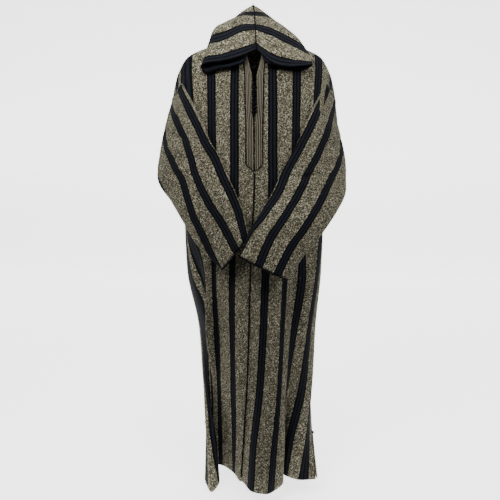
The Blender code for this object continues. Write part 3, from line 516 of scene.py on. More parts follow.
def half_net(side, s, fall, front):
    """Points of half a panel: a row for each fall, a column for each distance s."""
    levels, rows = front_levels(side, s) if front else back_levels(side, s)
    other = back_levels(side, s)[1][1] if front else front_levels(side, s)[1][1]
    over = -BACK_TOP[0][0] if front else -YOKE[0][0]
    joined = curve(levels, rows, fall, before=(over, other))
    open_neck = curve(levels, rows, fall)
    net = np.where((s >= NECK_SIDE)[None, :, None], joined, open_neck)
    if not front:
        hem = BACK_LEFT[-1][0]
        for place, half_width, depth, start in BACK_FOLDS:
            growth = np.clip((fall - start) / (hem - start), 0, 1)
            growth = growth * (2 - growth)
            fade = np.clip((HALF_WIDTH - s) / FOLD_FADE, 0, 1)
            swell = np.clip(1 - ((side * s - place) / half_width) ** 2, 0, 1) ** 2
            net[:, :, 1] += depth * MM * growth[:, None] * (fade * swell)[None, :]
    return drawn_to_seam(net, side, s, fall, front)


def drawn_to_seam(net, side, s, fall, front):
    """Moves the last few columns so that the edge lies on the armhole and on the side seam."""
    shorter = 0 if front else BACK_SHORTER
    underarm = ARMPIT_FALL - shorter
    edge = np.where(
        (fall <= underarm)[:, None],
        armhole_line(side, np.minimum(fall, underarm), front),
        side_seam_line(side, np.maximum(fall + shorter, ARMPIT_FALL)),
    )
    weight = smooth_step(s, DRAWN_FROM, HALF_WIDTH)
    return net + (edge - net[:, -1])[:, None, :] * weight[None, :, None]


def back_net(s, fall):
    """The whole back, from the left seam to the right one."""
    left, right = (half_net(side, s, fall, front=False) for side in (LEFT, RIGHT))
    return np.concatenate([left[:, ::-1], right[:, 1:]], axis=1)


# A point about every 4 to 6 mm of cloth, which is fine enough for the narrowest crease
front_s = np.linspace(0, HALF_WIDTH, 95)
front_fall = np.linspace(0, FRONT_LENGTH, 232)
back_s = np.linspace(0, HALF_WIDTH, 80)
back_fall = np.linspace(0, FRONT_LENGTH - BACK_SHORTER, 200)
nets = {
    "front_left": half_net(LEFT, front_s, front_fall, front=True),
    "front_right": half_net(RIGHT, front_s, front_fall, front=True),
    "back": back_net(back_s, back_fall),
}
print({name: net.shape[:2] for name, net in nets.items()})

# %% [markdown]
# ## The surface of a sleeve
# A sleeve starts on the armhole's edge. Each of its sections runs from the front edge of the
# armhole, under the fold that faces the middle of the robe, over the front and round the elbow
# side to the back. A bent pipe would be quicker to make, but cloth that lies flat has two folds.

# %% Sleeve surface
# Counts round a section: the front edge, two points of the cloth tucked behind, the fold, three
# points over the front, the outer edge, a point behind it and the back edge
SECTION_COUNTS = (0, 1, 2, 3, 5, 7, 9, 11, 15, 19)
FOLD_COUNT, OUTER_COUNT, LAST_COUNT = 3, 11, 19
# Falls of the armhole that the sleeve's head is sewn to, by count, in front and behind
HEAD_FRONT = ((3, 5, 7, 9, 11), (100, 72, 45, 22, 0))
HEAD_BACK = ((11, 13, 15, 17, 19), (0, 15, 30, 45, 60))
# Behind the arm, in metres: how far the cloth rounds out above the underarm, aside and back,
# how far it stays off the front below it, and over what share of the length it changes
ROUND_OUT = (0.012, 0.016)
FLAT_BEHIND = 0.005
ROUND_FADE = 0.2
# Two points of the tucked cloth: how far they are from the fold towards the front edge. Three
# points over the front: how far they are towards the outer edge, and their part of the bulge
TUCKED = (0.70, 0.35)
OVER_FRONT = ((0.22, 0.80), (0.50, 1.0), (0.80, 0.72))


def sleeve_net(side, share, k):
    """Points of a sleeve: a row for each share of its length, and k counts round the section."""
    table = LEFT_SLEEVE if side == LEFT else RIGHT_SLEEVE
    under = LEFT_UNDER if side == LEFT else RIGHT_UNDER
    shares = [row[0] for row in table]
    at = np.maximum(share, shares[0])
    fold, outer = (curve(shares, placed([row[n] for row in table]), at) for n in (1, 2))
    bulge = curve(shares, [row[3] * MM for row in table], at)[:, None]
    forward, aside = np.array((0, -1, 0)), np.array((side, 0, 0))
    # Above the underarm both ends of a section lie on the armhole, and below it they meet
    reach = np.minimum(share / ARMPIT_SHARE, 1)
    front_fall_at = CORNER_FALL + (ARMPIT_FALL - CORNER_FALL) * reach
    back_fall_at = ARMHOLE_BACK[1][0] + (ARMHOLE_BACK[-1][0] - ARMHOLE_BACK[1][0]) * reach
    is_open = (share < ARMPIT_SHARE)[:, None]
    closed = edge_line(under, RIGHT, np.maximum(share, ARMPIT_SHARE))
    front_end = np.where(is_open, armhole_line(side, front_fall_at, True), closed)
    back_end = np.where(is_open, armhole_line(side, back_fall_at, False), closed)
    roundness = np.clip(1 - (share - ARMPIT_SHARE) / ROUND_FADE, 0, 1)[:, None]
    behind = (outer + back_end) / 2 + np.array((side * ROUND_OUT[0], ROUND_OUT[1], 0)) * roundness
    behind = behind - forward * FLAT_BEHIND * (1 - is_open)
    lifts = [curve([row[0] for row in TUCK_LIFT], [row[n] * MM for row in TUCK_LIFT], share)
             for n in (1, 2, 3)]
    far, near = (fold * (1 - part) + front_end * part for part in TUCKED)
    near = near + forward * lifts[0][:, None]
    far = far + forward * lifts[1][:, None] + aside * lifts[2][:, None]
    over_front = [fold * (1 - part) + outer * part + forward * bulge * swell
                  for part, swell in OVER_FRONT]
    points = [front_end, far, near, fold, *over_front, outer, behind, back_end]
    net = curve(SECTION_COUNTS, points, k).transpose(1, 0, 2)
    head = np.where((k <= OUTER_COUNT)[:, None],
                    armhole_line(side, np.interp(k, *HEAD_FRONT), True),
                    armhole_line(side, np.interp(k, *HEAD_BACK), False))
    x = np.clip(share / shares[0], 0, 1)[:, None, None]
    leave = x * (2 - x)
    return head[None] * (1 - leave) + net * leave


sleeve_share = np.linspace(0, 1, 125)
sleeve_k = np.linspace(0, LAST_COUNT, 96)
cuff_fold = sleeve_net(LEFT, np.ones(1), np.array((FOLD_COUNT,)))[0, 0]
print("the left cuff's fold is at", cuff_fold.round(3))

# %% [markdown]
# ## The surface of the hood
# A real hood is a flat, curved piece on each side, and its fullness comes from the seams. Here the
# arches already have that shape, so the net is read along each arch and then from rim to seam.

# %% Hood surface
# Distances s that draw the neckline, points in an arch with its foot, and depth of the hood
NECK_POINTS = (0, 24, 52, NECK_SIDE)
ARCH_POINTS = 10
HOOD_DEPTH = 330


def neck_line(side, place):
    """Neckline from the neck slit, at 0, round to the nape, at 1."""
    s = np.array(NECK_POINTS, float)
    line = np.concatenate([top_line(FRONT_NECK, side, s)[:3], top_line(BACK_NECK, side, s)[::-1]])
    return curve(np.linspace(0, 1, len(line)), line, np.clip(place, 0, 1))


def hood_net(side, distance, k):
    """Points of a hood half: a row for each distance from the rim, and k counts up its arch."""
    table = HOOD_LEFT if side == LEFT else HOOD_RIGHT
    rims, seats = [row[0] for row in table], [row[1] for row in table]
    arches = np.array([placed([(0, 0, 0)] + list(row[2])) for row in table])
    arches[:, 0] = neck_line(side, seats)
    rows = curve(rims, arches, distance)
    rows[:, 0] = neck_line(side, curve(rims, seats, distance))
    return curve(range(ARCH_POINTS), rows.transpose(1, 0, 2), k).transpose(1, 0, 2)


hood_distance = np.linspace(0, HOOD_DEPTH, 76)
hood_k = np.linspace(0, ARCH_POINTS - 1, 70)
for side, name in ((LEFT, "left"), (RIGHT, "right")):
    nets["sleeve_" + name] = sleeve_net(side, sleeve_share, sleeve_k)
    nets["hood_" + name] = hood_net(side, hood_distance, hood_k)
print({name: net.shape[:2] for name, net in nets.items()})

# %% [markdown]
# ## Outward normals, and room for what lies on top
# Creases, braid and cords are all moved out along the cloth's own normals. The cloth tucked behind
# a sleeve's front fold is kept in front of the body, and the hood's foot outside the neckline: each
# point too near the sheet below is pushed out along that sheet's normal. Cloth lies on cloth in the
# same way, and nothing else on the sheet has to move.

# %% Normals and clearance
OUTSIDE = {"front_left": -1, "front_right": 1, "back": -1, "sleeve_left": -1, "sleeve_right": 1,
           "hood_left": -1, "hood_right": 1}
# The tucked cloth: its share of the sleeve's length, its last count and its gap, in metres
TUCK_SHARE, TUCK_COUNT, TUCK_GAP = 0.62, 3.2, 0.0026
# The hood's foot: its columns, its gap, and how near it has to be to be moved, in metres
FOOT_COLUMNS, FOOT_GAP, FOOT_NEAR = 12, 0.0028, 0.012


def normals_of(net, outside):
    """The outward normal at every point of a net."""
    down = np.gradient(net, axis=0)
    along = np.gradient(net, axis=1)
    return unit(np.cross(down, along)) * outside


def surface_of(name):
    """A sheet as a tree of faces, all of them facing outwards."""
    net, flip = nets[name], OUTSIDE[name] > 0
    rows, columns = net.shape[:2]
    faces = []
    for i in range(rows - 1):
        for j in range(columns - 1):
            a, b = i * columns + j, i * columns + j + 1
            c, d = b + columns, a + columns
            faces.append((a, d, c, b) if flip else (a, b, c, d))
    return BVHTree.FromPolygons([Vector(p) for p in net.reshape(-1, 3)], faces)


def keep_off(net, surface, gap, near=0.03):
    """Moves points out until they stand the gap above the surface under them."""
    for point in net.reshape(-1, 3):
        place, normal, _, distance = surface.find_nearest(Vector(point))
        height = (Vector(point) - place).dot(normal)
        if height < gap and distance < near:
            point += np.array(normal) * (gap - height)


surfaces = {name: surface_of(name) for name in ("front_left", "front_right", "back")}
tuck_rows = int(len(sleeve_share) * TUCK_SHARE)
tuck_columns = int(np.searchsorted(sleeve_k, TUCK_COUNT))
for name in ("left", "right"):
    tuck = nets["sleeve_" + name][:tuck_rows, :tuck_columns].copy()
    keep_off(tuck, surfaces["front_" + name], TUCK_GAP)
    nets["sleeve_" + name][:tuck_rows, :tuck_columns] = tuck
    foot = nets["hood_" + name][:, :FOOT_COLUMNS].copy()
    for panel in ("front_" + name, "back"):
        keep_off(foot, surfaces[panel], FOOT_GAP, near=FOOT_NEAR)
    nets["hood_" + name][:, :FOOT_COLUMNS] = foot
print("kept clear:", tuck_rows, "sleeve rows and the hood's foot")

# %% [markdown]
# ## Where the stripes show
# The cloth is woven with a black stripe every 70 mm. On the hanging robe some stripes turn into a
# fold and look narrower, and others lie open to the eye. Where each stripe shows was measured on
# the photo, in millimetres of cloth, and stands in tables. That puts every stripe where the photo
# has it, which stripes at a fixed spacing would not.

# %% Stripes as woven and as seen
# Black stripes as woven: their spacing, the first one's distance from the centre line, their
# width, how many a front half has, and how far the cloth goes on past the side seam
PITCH, FIRST, BLACK_WIDTH, STRIPES, PAST_SEAM = 70, 55, 26, 5, 35
SLEEVE_LENGTH = 600
# From a sleeve's fold and from the hood's rim to where the stripes are counted
FOLD_TO_FIRST = 37
RIM_TO_FIRST = 43.5
# Stripes as they show on the folded skirt: fall, then centre and half width of all five
# Half widths above 13 make a stripe's black cover more cloth than it is woven with. On the left
# front, stripes 3 and 4 are widened so, to half widths of up to 42 mm, and their black is partly
# the stripe and partly painted shade, under the left sleeve and along the side where the cloth
# turns away.
SEEN = {
    "front_left": (
        (470, ((55, 13), (125, 13), (212, 26), (266, 13), (335, 13))),
        (555, ((55, 10), (125, 9), (218, 32), (268, 14), (335, 13))),
        (615, ((55, 10), (125, 9), (200, 34), (268, 16), (335, 13))),
        (675, ((55, 10), (125, 9), (188, 30), (268, 22), (335, 13))),
        (735, ((55, 10), (125, 10), (186, 23), (258, 38), (340, 13))),
        (795, ((55, 10), (125, 10), (186, 16), (254, 39), (340, 13))),
        (855, ((55, 10), (125, 11), (188, 13), (254, 36), (335, 13))),
        (915, ((55, 11), (125, 12), (190, 12), (249, 30), (335, 13))),
        (995, ((55, 12), (125, 13), (188, 12), (243, 36), (335, 13))),
        (1070, ((55, 12), (125, 13), (182, 10), (240, 42), (335, 13))),
        (1145, ((55, 11), (125, 12), (188, 12), (258, 32), (340, 13))),
        (1200, ((55, 10), (126, 11), (190, 12), (258, 26), (350, 13))),
        (1275, ((55, 9), (126, 10), (192, 12), (252, 18), (356, 13))),
    ),
    "front_right": (
        (470, ((51, 14), (124, 13), (195, 13), (265, 13), (335, 13))),
        (575, ((50, 14), (124, 11), (195, 14), (265, 13), (335, 13))),
        (735, ((50, 14), (124, 10), (194, 19), (265, 15), (335, 13))),
        (860, ((50, 14), (124, 10), (192, 19), (267, 15), (335, 13))),
        (985, ((50, 14), (124, 10), (192, 14), (268, 19), (335, 13))),
        (1047, ((50, 15), (124, 10), (193, 6), (267, 20), (335, 14))),
        (1110, ((50, 15), (124, 10), (194, 5), (264, 18), (338, 15))),
        (1200, ((50, 15), (124, 10), (195, 8), (262, 18), (336, 17))),
        (1275, ((50, 14), (124, 10), (195, 10), (258, 17), (332, 17))),
    ),
}
# Sleeve stripes: share of the length, then how far round from the fold the first three lie
SLEEVE_STRIPES = {
    "left": ((0.0, 20, 90, 168), (0.13, 20, 92, 168), (0.26, 22, 80, 166), (0.39, 24, 78, 160),
             (0.45, 24, 79, 149), (0.52, 22, 84, 143), (0.58, 19, 91, 138), (0.65, 18, 90, 140),
             (0.77, 18, 86, 149), (0.9, 18, 73, 144), (1.0, 18, 58, 140)),
    "right": ((0.0, 18, 82, 165), (0.13, 18, 82, 168), (0.26, 18, 77, 172), (0.39, 18, 78, 170),
              (0.45, 18, 78, 168), (0.58, 18, 76, 152), (0.65, 18, 72, 146), (0.71, 17, 70, 141),
              (0.84, 10, 66, 134), (0.92, 0, 63, 126), (1.0, -9, 60, 118)),
}
print(len(SEEN["front_left"]), "falls with the stripes' places on the left front")

# %% [markdown]
# ## Distances on the cloth
# Every sheet gets two cloth distances: `across`, at right angles to the stripes, and `down`, along
# them. They say where the creases lie, and they become the UV map that the stripes are read from.
# An unwrap would give one too, but it couldn't tell a stripe in a fold from one in plain view.

# %% Distances on the body
# The front lies flat from its centre line to this distance, so there s is the distance itself
FLAT_TO = 195


def arc_from(net, column):
    """Distance along each row of a net, counted from one of its columns."""
    steps = np.linalg.norm(np.diff(net, axis=1), axis=2) / MM
    run = np.concatenate([np.zeros((len(net), 1)), np.cumsum(steps, axis=1)], axis=1)
    return run - run[:, column:column + 1]


def as_seen(across_s, fall, table):
    """Reads the woven stripe distance from where each stripe shows on the folded cloth."""
    falls = [row[0] for row in table]
    seen, woven = [np.zeros(len(fall))], [0]
    for n in range(STRIPES):
        centre, half = (np.interp(fall, falls, [row[1][n][m] for row in table]) for m in (0, 1))
        seen += [centre - half, centre + half]
        woven += [FIRST + PITCH * n - BLACK_WIDTH / 2, FIRST + PITCH * n + BLACK_WIDTH / 2]
    seen.append(np.full(len(fall), float(HALF_WIDTH + PAST_SEAM)))
    woven.append(HALF_WIDTH + PAST_SEAM)
    rows = zip(across_s, np.array(seen).T)
    return np.array([np.interp(row, knots, woven) for row, knots in rows])


cloth = {}
for name in ("front_left", "front_right"):
    arc = arc_from(nets[name], int(np.searchsorted(front_s, FLAT_TO)))
    level = np.broadcast_to(front_s, arc.shape)
    spread = np.where(level <= FLAT_TO, level, FLAT_TO + arc)
    weight = smooth_step(front_fall, ARMPIT_FALL, LEFT_FOLDS[0][0])[:, None]
    stripe = as_seen(spread * (1 - weight) + level * weight, front_fall, SEEN[name])
    cloth[name] = (stripe, np.broadcast_to(front_fall[:, None], stripe.shape))
signed = np.concatenate([-back_s[::-1], back_s[1:]])
back_shape = nets["back"].shape[:2]
cloth["back"] = (np.broadcast_to(signed, back_shape),
                 np.broadcast_to(back_fall[:, None], back_shape))
print("the body's stripe distances reach", int(cloth["back"][0].max()), "mm")

# %% [markdown]
# ## Distances on the sleeves and the hood
# Round a sleeve the distance is counted from its fold, and on the hood back from its rim, because
# the stripes run along both. At the hood's corner the first stripe lies a little further back, as
# on the photo, where the slack cloth is drawn over the rim.

# %% Distances on the sleeves and the hood
# Distances at which the sleeve's cloth is woven: a point behind the fold, the edges of three
# stripes, and two points past them. SEEN_HALF is a stripe's half width on the photo.
BEFORE_FOLD = -300
SLEEVE_WOVEN = (-297, 5, 31, 75, 101, 145, 171, 212, 532)
PAST_LAST = (80, 400)
SEEN_HALF = 12
# The hood's corner: how far it pulls the cloth, at which count of the arch, and over how many
CORNER_PULL, CORNER_COUNT, CORNER_SPREAD = 13, 3.6, 1.5
# The pull grows to here from the rim, and fades between the other two distances
PULL_FULL, PULL_FADES, PULL_ENDS = 26, 45, 80

for name in ("left", "right"):
    arc = arc_from(nets["sleeve_" + name], int(np.argmin(np.abs(sleeve_k - FOLD_COUNT))))
    shares = [row[0] for row in SLEEVE_STRIPES[name]]
    places = [np.interp(sleeve_share, shares, [row[n] for row in SLEEVE_STRIPES[name]])
              for n in (1, 2, 3)]
    spread = arc.copy()
    for i, row in enumerate(arc):
        edges = [place[i] + edge for place in places for edge in (-SEEN_HALF, SEEN_HALF)]
        past = [places[2][i] + more for more in PAST_LAST]
        spread[i] = np.interp(row, [BEFORE_FOLD] + edges + past, SLEEVE_WOVEN)
    down = np.broadcast_to(sleeve_share[:, None] * SLEEVE_LENGTH, arc.shape)
    cloth["sleeve_" + name] = (spread + FOLD_TO_FIRST, down)
    arch = arc_from(nets["hood_" + name], 0)
    corner = CORNER_PULL * np.exp(-((hood_k - CORNER_COUNT) / CORNER_SPREAD) ** 2)
    near_rim = 1 - smooth_step(hood_distance, PULL_FADES, PULL_ENDS)
    grown = np.minimum(hood_distance / PULL_FULL, 1)
    pull = near_rim[:, None] * corner[None] * grown[:, None]
    cloth["hood_" + name] = (hood_distance[:, None] + RIM_TO_FIRST - pull,
                             np.broadcast_to(arch.mean(axis=0), arch.shape))
print("stripe distances reach", {name: int(pair[0].max()) for name, pair in cloth.items()}, "mm")

# %% [markdown]
# ## Distances on the bolt
# Where a stripe is drawn as it shows in a fold, its cloth distance is stretched or squeezed. Flecks
# and weave would be too, so they read true distances, from a second UV map.

# %% Distances on the bolt
bolt = {}
for name, net in nets.items():
    arc = arc_from(net, net.shape[1] // 2)
    bolt[name] = (np.broadcast_to(arc.mean(axis=0), arc.shape), cloth[name][1])
for name in ("hood_left", "hood_right"):
    bolt[name] = cloth[name]
print("the widest sheet is", int(max(np.ptp(pair[0]) for pair in bolt.values())), "mm across")

# %% [markdown]
# ## Creases one by one
# A crease is a soft trough (a depth below 0) or ridge (above 0) along a short path of cloth
# distances. Its ends taper off. They differ in length, depth and spacing, as a hung cloth's do:
# drawn from the armhole to the crossed cuffs on the sleeves, and down along the folds below.

# %% Table of creases
# Depth, half width, then the path as (across, down), all in millimetres
CREASES = {
    "front_left": (
        (-2.4, 15, ((96, 60), (90, 150), (94, 260), (90, 350))),
        (2.0, 13, ((158, 70), (150, 170), (146, 240))),
        (-1.8, 10, ((182, 120), (168, 220), (150, 330))),
        (1.6, 16, ((30, 370), (34, 480), (30, 560))),
        (-2.6, 9, ((55, 560), (55, 760), (55, 1010), (55, 1240))),
        (-3.0, 8, ((125, 540), (125, 760), (125, 960), (127, 1120))),
        (2.4, 13, ((88, 600), (92, 780), (86, 930))),
        (-1.6, 10, ((98, 980), (90, 1110), (94, 1230))),
        (1.8, 12, ((26, 760), (32, 900), (26, 1040))),
        (-1.4, 9, ((18, 1090), (26, 1180), (22, 1260))),
        (-2.6, 12, ((196, 520), (206, 690), (214, 850))),
        (2.2, 14, ((168, 640), (160, 800), (168, 950))),
        (-2.0, 12, ((262, 560), (270, 760), (258, 960))),
        (2.4, 15, ((310, 600), (304, 790), (316, 1010))),
        (-1.6, 10, ((236, 1010), (246, 1130), (240, 1250))),
        (1.4, 10, ((168, 1080), (160, 1180), (164, 1255))),
        (-1.5, 14, ((70, 470), (110, 500), (150, 540))),
    ),
    "front_right": (
        (-2.2, 14, ((92, 50), (96, 170), (88, 290), (92, 360))),
        (2.2, 14, ((150, 60), (158, 180), (152, 300))),
        (-1.8, 11, ((176, 150), (160, 250), (148, 350))),
        (1.8, 15, ((24, 380), (30, 500), (26, 600))),
        (-1.8, 10, ((55, 600), (55, 780), (55, 990))),
        (-2.8, 8, ((125, 530), (125, 700), (125, 830), (125, 940))),
        (2.2, 12, ((88, 620), (92, 800), (90, 1000))),
        (-1.6, 10, ((96, 1040), (90, 1140), (94, 1240))),
        (1.8, 12, ((24, 720), (18, 860), (24, 1000))),
        (-1.4, 9, ((22, 1060), (30, 1160), (24, 1250))),
        (-2.2, 12, ((180, 560), (172, 720), (180, 880))),
        (2.4, 14, ((232, 560), (226, 760), (236, 940))),
        (-2.0, 12, ((286, 640), (280, 840), (290, 1010))),
        (2.0, 13, ((338, 660), (330, 860), (336, 1090))),
        (-1.8, 12, ((232, 1010), (222, 1130), (230, 1250))),
        (1.6, 10, ((166, 1010), (160, 1120), (168, 1230))),
        (-1.5, 14, ((60, 500), (104, 520), (148, 560))),
    ),
    "back": (
        (-2.4, 16, ((-90, 60), (-84, 200), (-92, 330), (-86, 430))),
        (2.2, 15, ((88, 70), (96, 190), (88, 300))),
        (-2.0, 14, ((0, 150), (6, 300), (-4, 470))),
        (1.8, 14, ((-160, 160), (-150, 280), (-158, 380))),
        (-2.0, 12, ((156, 120), (166, 250), (158, 400))),
        (2.4, 14, ((-40, 420), (-46, 600), (-38, 790))),
        (-2.6, 12, ((44, 460), (52, 640), (46, 850))),
        (2.0, 13, ((-250, 400), (-244, 560), (-256, 760))),
        (-2.2, 12, ((-190, 520), (-184, 720), (-194, 930))),
        (2.2, 13, ((110, 540), (104, 760), (112, 960))),
        (-2.4, 12, ((186, 500), (194, 720), (188, 980))),
        (2.0, 12, ((262, 420), (254, 640), (264, 820))),
        (-1.8, 11, ((-92, 700), (-86, 880), (-94, 1080))),
        (1.8, 12, ((-150, 760), (-158, 930), (-150, 1120))),
        (-1.6, 10, ((20, 860), (12, 1000), (22, 1140))),
        (1.6, 10, ((250, 900), (258, 1030), (250, 1150))),
        (-1.8, 12, ((320, 620), (312, 800), (322, 1000))),
        (-1.6, 12, ((-320, 640), (-312, 820), (-322, 1010))),
        (-1.8, 16, ((-150, 430), (-60, 470), (40, 450), (140, 480))),
    ),
    "sleeve_left": (
        (-2.6, 12, ((60, 60), (92, 110), (122, 150))),
        (2.0, 12, ((150, 70), (140, 150), (128, 210))),
        (-3.0, 10, ((196, 150), (166, 186), (140, 214), (118, 236))),
        (2.2, 11, ((206, 206), (176, 226), (150, 250))),
        (-2.8, 9, ((208, 262), (180, 268), (154, 286), (130, 312))),
        (2.0, 11, ((206, 306), (172, 318), (146, 342))),
        (-2.0, 9, ((70, 226), (96, 268), (104, 316), (98, 366))),
        (1.8, 12, ((80, 330), (86, 420), (78, 500))),
        (-2.2, 9, ((186, 356), (160, 400), (152, 462), (158, 520))),
        (1.6, 10, ((124, 400), (118, 470), (126, 556))),
        (-1.6, 8, ((62, 430), (68, 500), (60, 570))),
        (-2.0, 11, ((262, 120), (256, 220), (266, 320))),
        (1.8, 11, ((306, 160), (312, 260), (304, 360))),
        (-2.0, 10, ((250, 380), (258, 470), (250, 560))),
        (2.0, 10, ((300, 420), (294, 500), (302, 580))),
    ),
    "sleeve_right": (
        (-2.4, 12, ((58, 56), (90, 104), (118, 150))),
        (2.0, 12, ((156, 76), (142, 146), (132, 214))),
        (-3.0, 10, ((200, 140), (170, 180), (142, 206), (116, 232))),
        (2.2, 11, ((210, 200), (180, 224), (150, 244))),
        (-3.2, 8, ((196, 300), (164, 312), (128, 330), (90, 338), (62, 352))),
        (2.4, 11, ((204, 336), (166, 346), (128, 360), (86, 372))),
        (-2.6, 8, ((206, 392), (176, 398), (148, 414), (124, 428))),
        (1.8, 10, ((200, 430), (176, 452), (150, 470))),
        (-2.0, 9, ((74, 236), (92, 280), (86, 316))),
        (1.8, 12, ((62, 400), (70, 470), (62, 540))),
        (-2.0, 9, ((112, 430), (120, 500), (112, 570))),
        (-1.6, 8, ((166, 480), (160, 530), (168, 580))),
        (-2.0, 11, ((260, 130), (266, 240), (258, 330))),
        (1.8, 11, ((310, 170), (302, 270), (312, 370))),
        (-2.0, 10, ((254, 390), (248, 480), (256, 570))),
        (2.0, 10, ((302, 430), (308, 510), (300, 590))),
    ),
    "hood_left": (
        (-2.4, 12, ((52, 60), (80, 100), (110, 128))),
        (2.0, 12, ((60, 150), (96, 180), (132, 196))),
        (-2.4, 11, ((130, 70), (168, 96), (206, 110))),
        (2.0, 12, ((150, 140), (190, 158), (236, 168))),
        (-2.0, 11, ((222, 60), (262, 90), (300, 104))),
        (1.8, 12, ((86, 220), (124, 232), (166, 230))),
        (-1.8, 10, ((240, 130), (280, 146), (318, 150))),
        (-1.6, 12, ((50, 200), (76, 226), (98, 240))),
    ),
    "hood_right": (
        (-2.4, 12, ((54, 70), (84, 108), (116, 134))),
        (2.0, 12, ((62, 156), (100, 184), (140, 198))),
        (-2.4, 11, ((136, 76), (170, 100), (210, 116))),
        (2.0, 12, ((156, 146), (196, 160), (240, 172))),
        (-2.0, 11, ((226, 66), (266, 92), (304, 108))),
        (1.8, 12, ((90, 226), (130, 236), (170, 232))),
        (-1.8, 10, ((244, 134), (284, 150), (320, 152))),
        (-1.6, 12, ((52, 204), (78, 230), (104, 246))),
    ),
}
print(sum(len(made) for made in CREASES.values()), "creases in the table")

# %% [markdown]
# ## Laying the creases
# Each point of a sheet is raised or sunk by its distance from the creases' paths, in the shape of
# a bell. Some slow waves are added, because no part of a hung cloth is quite even. The sheets are
# fine grids, so moving their points is enough, and no sculpting or cloth simulation is needed.

# %% Laying the creases
# How far in from a seam the creases fade, so that sewn edges stay together
EDGE_FADE = 22
# A crease's share of length at each end that is cut off its taper, the taper and the bell's fall
END_SHARE, TAPER, BELL = 0.04, 0.8, 2.2
# Slow waves: how many, the shortest in millimetres, the stretch along the cloth and their height
WAVES, WAVE_LENGTH, WAVE_DOWN, WAVE_HEIGHT = 9, 150, 0.6, 2.0
# Sleeves are creased more deeply, but not where they are tucked behind the fold
SLEEVE_DEPTH, TUCK_DEPTH = 1.5, 0.2
# Distances s from the front seam between which its creases grow
SEAM_CALM = (4, 30)


def crease_lift(across_s, down, creases):
    """How far each point is raised, from the distance to every crease's path."""
    lift = np.zeros(across_s.shape)
    for depth, half_width, path in creases:
        path = np.asarray(path, float)
        lengths = np.linalg.norm(np.diff(path, axis=0), axis=1)
        total, gone = lengths.sum(), 0.0
        nearest = np.full(across_s.shape, np.inf)
        place = np.zeros(across_s.shape)
        for start, end, length in zip(path, path[1:], lengths):
            way = (end - start) / length
            run = np.clip((across_s - start[0]) * way[0] + (down - start[1]) * way[1], 0, length)
            far = np.hypot(across_s - start[0] - run * way[0], down - start[1] - run * way[1])
            place = np.where(far < nearest, (gone + run) / total, place)
            nearest = np.minimum(nearest, far)
            gone += length
        taper = np.sin(np.pi * (END_SHARE + place * (1 - 2 * END_SHARE))) ** TAPER
        lift += depth * taper * np.exp(-((nearest / half_width) ** 2) * BELL)
    return lift


def soft_unevenness(across_s, down, seed):
    """A slow, small wander of the cloth, so that no part of it is quite even."""
    rng = np.random.default_rng(seed)
    total = np.zeros(across_s.shape)
    for _ in range(WAVES):
        a, b = rng.uniform(-1, 1, 2) * 2 * np.pi / WAVE_LENGTH
        total += np.sin(across_s * a + down * b * WAVE_DOWN + rng.uniform(0, 6.28))
    return total * WAVE_HEIGHT / WAVES


normals = {}
for seed, (name, net) in enumerate(nets.items()):
    across_s, down = cloth[name]
    lift = crease_lift(across_s, down, CREASES[name]) + soft_unevenness(across_s, down, seed)
    along = arc_from(net, 0)
    room = np.minimum(along, along[:, -1:] - along)
    if "hood" not in name:
        room = np.minimum(room, down - down[:1])
    lift *= np.clip(room / EDGE_FADE, 0, 1)
    if "sleeve" in name:
        lift *= SLEEVE_DEPTH
        lift[:, :tuck_columns] *= TUCK_DEPTH
    if "front" in name:
        lift *= smooth_step(front_s, *SEAM_CALM)
    nets[name] = net + normals_of(net, OUTSIDE[name]) * lift[:, :, None] * MM
    normals[name] = normals_of(nets[name], OUTSIDE[name])
print("creases laid on", len(normals), "sheets")

# %% [markdown]
# ## Opening the slits
# The two fronts part over the top 195 mm, between the knot buttons that hold them, and every side
# seam is open below its cord's knot. The nets' edge columns are simply drawn apart, a little more
# or less from button to button, because a straight gap would look cut and not worn.

# %% Neck and side slits
# Falls, and how far each half of the neck slit is drawn aside at them
NECK_SLIT = ((0, 12, 25, 45, 60, 75, 100, 125, 150, 180, 197),
             (0, 3, 5, 5.5, 3, 0.8, 1, 2, 2.6, 2.2, 0))
# How far in the fronts give way, in millimetres, and half of the seam's own gap, in metres
PARTED_OVER = 30
SEAM_GAP = 0.0002
# Columns that give way at a side slit, and how far its edge is drawn in at the hem, in metres
SLIT_COLUMNS = 8
SLIT_DRAWN = 0.006


def drawn_in(net, edge, inner, fall):
    """How far the edge of a side slit moves towards its panel, more the lower it is."""
    below = np.clip((fall - SLIT_TOP_FALL) / (FRONT_LENGTH - SLIT_TOP_FALL), 0, 1)
    return unit(net[:, inner] - net[:, edge]) * (SLIT_DRAWN * below)[:, None]


growing = np.linspace(0, 1, SLIT_COLUMNS)[None, :, None]
fading = np.linspace(1, 0, SLIT_COLUMNS)[None, :, None]
for side, name in ((LEFT, "front_left"), (RIGHT, "front_right")):
    parted = np.interp(front_fall, *NECK_SLIT) * MM
    inward = np.clip(1 - front_s / PARTED_OVER, 0, 1)
    nets[name][:, :, 0] += side * (parted[:, None] * inward + SEAM_GAP)
    drawn = drawn_in(nets[name], -1, -SLIT_COLUMNS, front_fall)
    nets[name][:, -SLIT_COLUMNS:] += drawn[:, None] * growing
back = nets["back"]
drawn = drawn_in(back, 0, SLIT_COLUMNS - 1, back_fall + BACK_SHORTER)
back[:, :SLIT_COLUMNS] += drawn[:, None] * fading
drawn = drawn_in(back, -1, -SLIT_COLUMNS, back_fall + BACK_SHORTER)
back[:, -SLIT_COLUMNS:] += drawn[:, None] * growing
opening = nets["front_right"][10, 0, 0] - nets["front_left"][10, 0, 0]
print("the neck slit is open by", round(float(opening), 4), "m near its top")
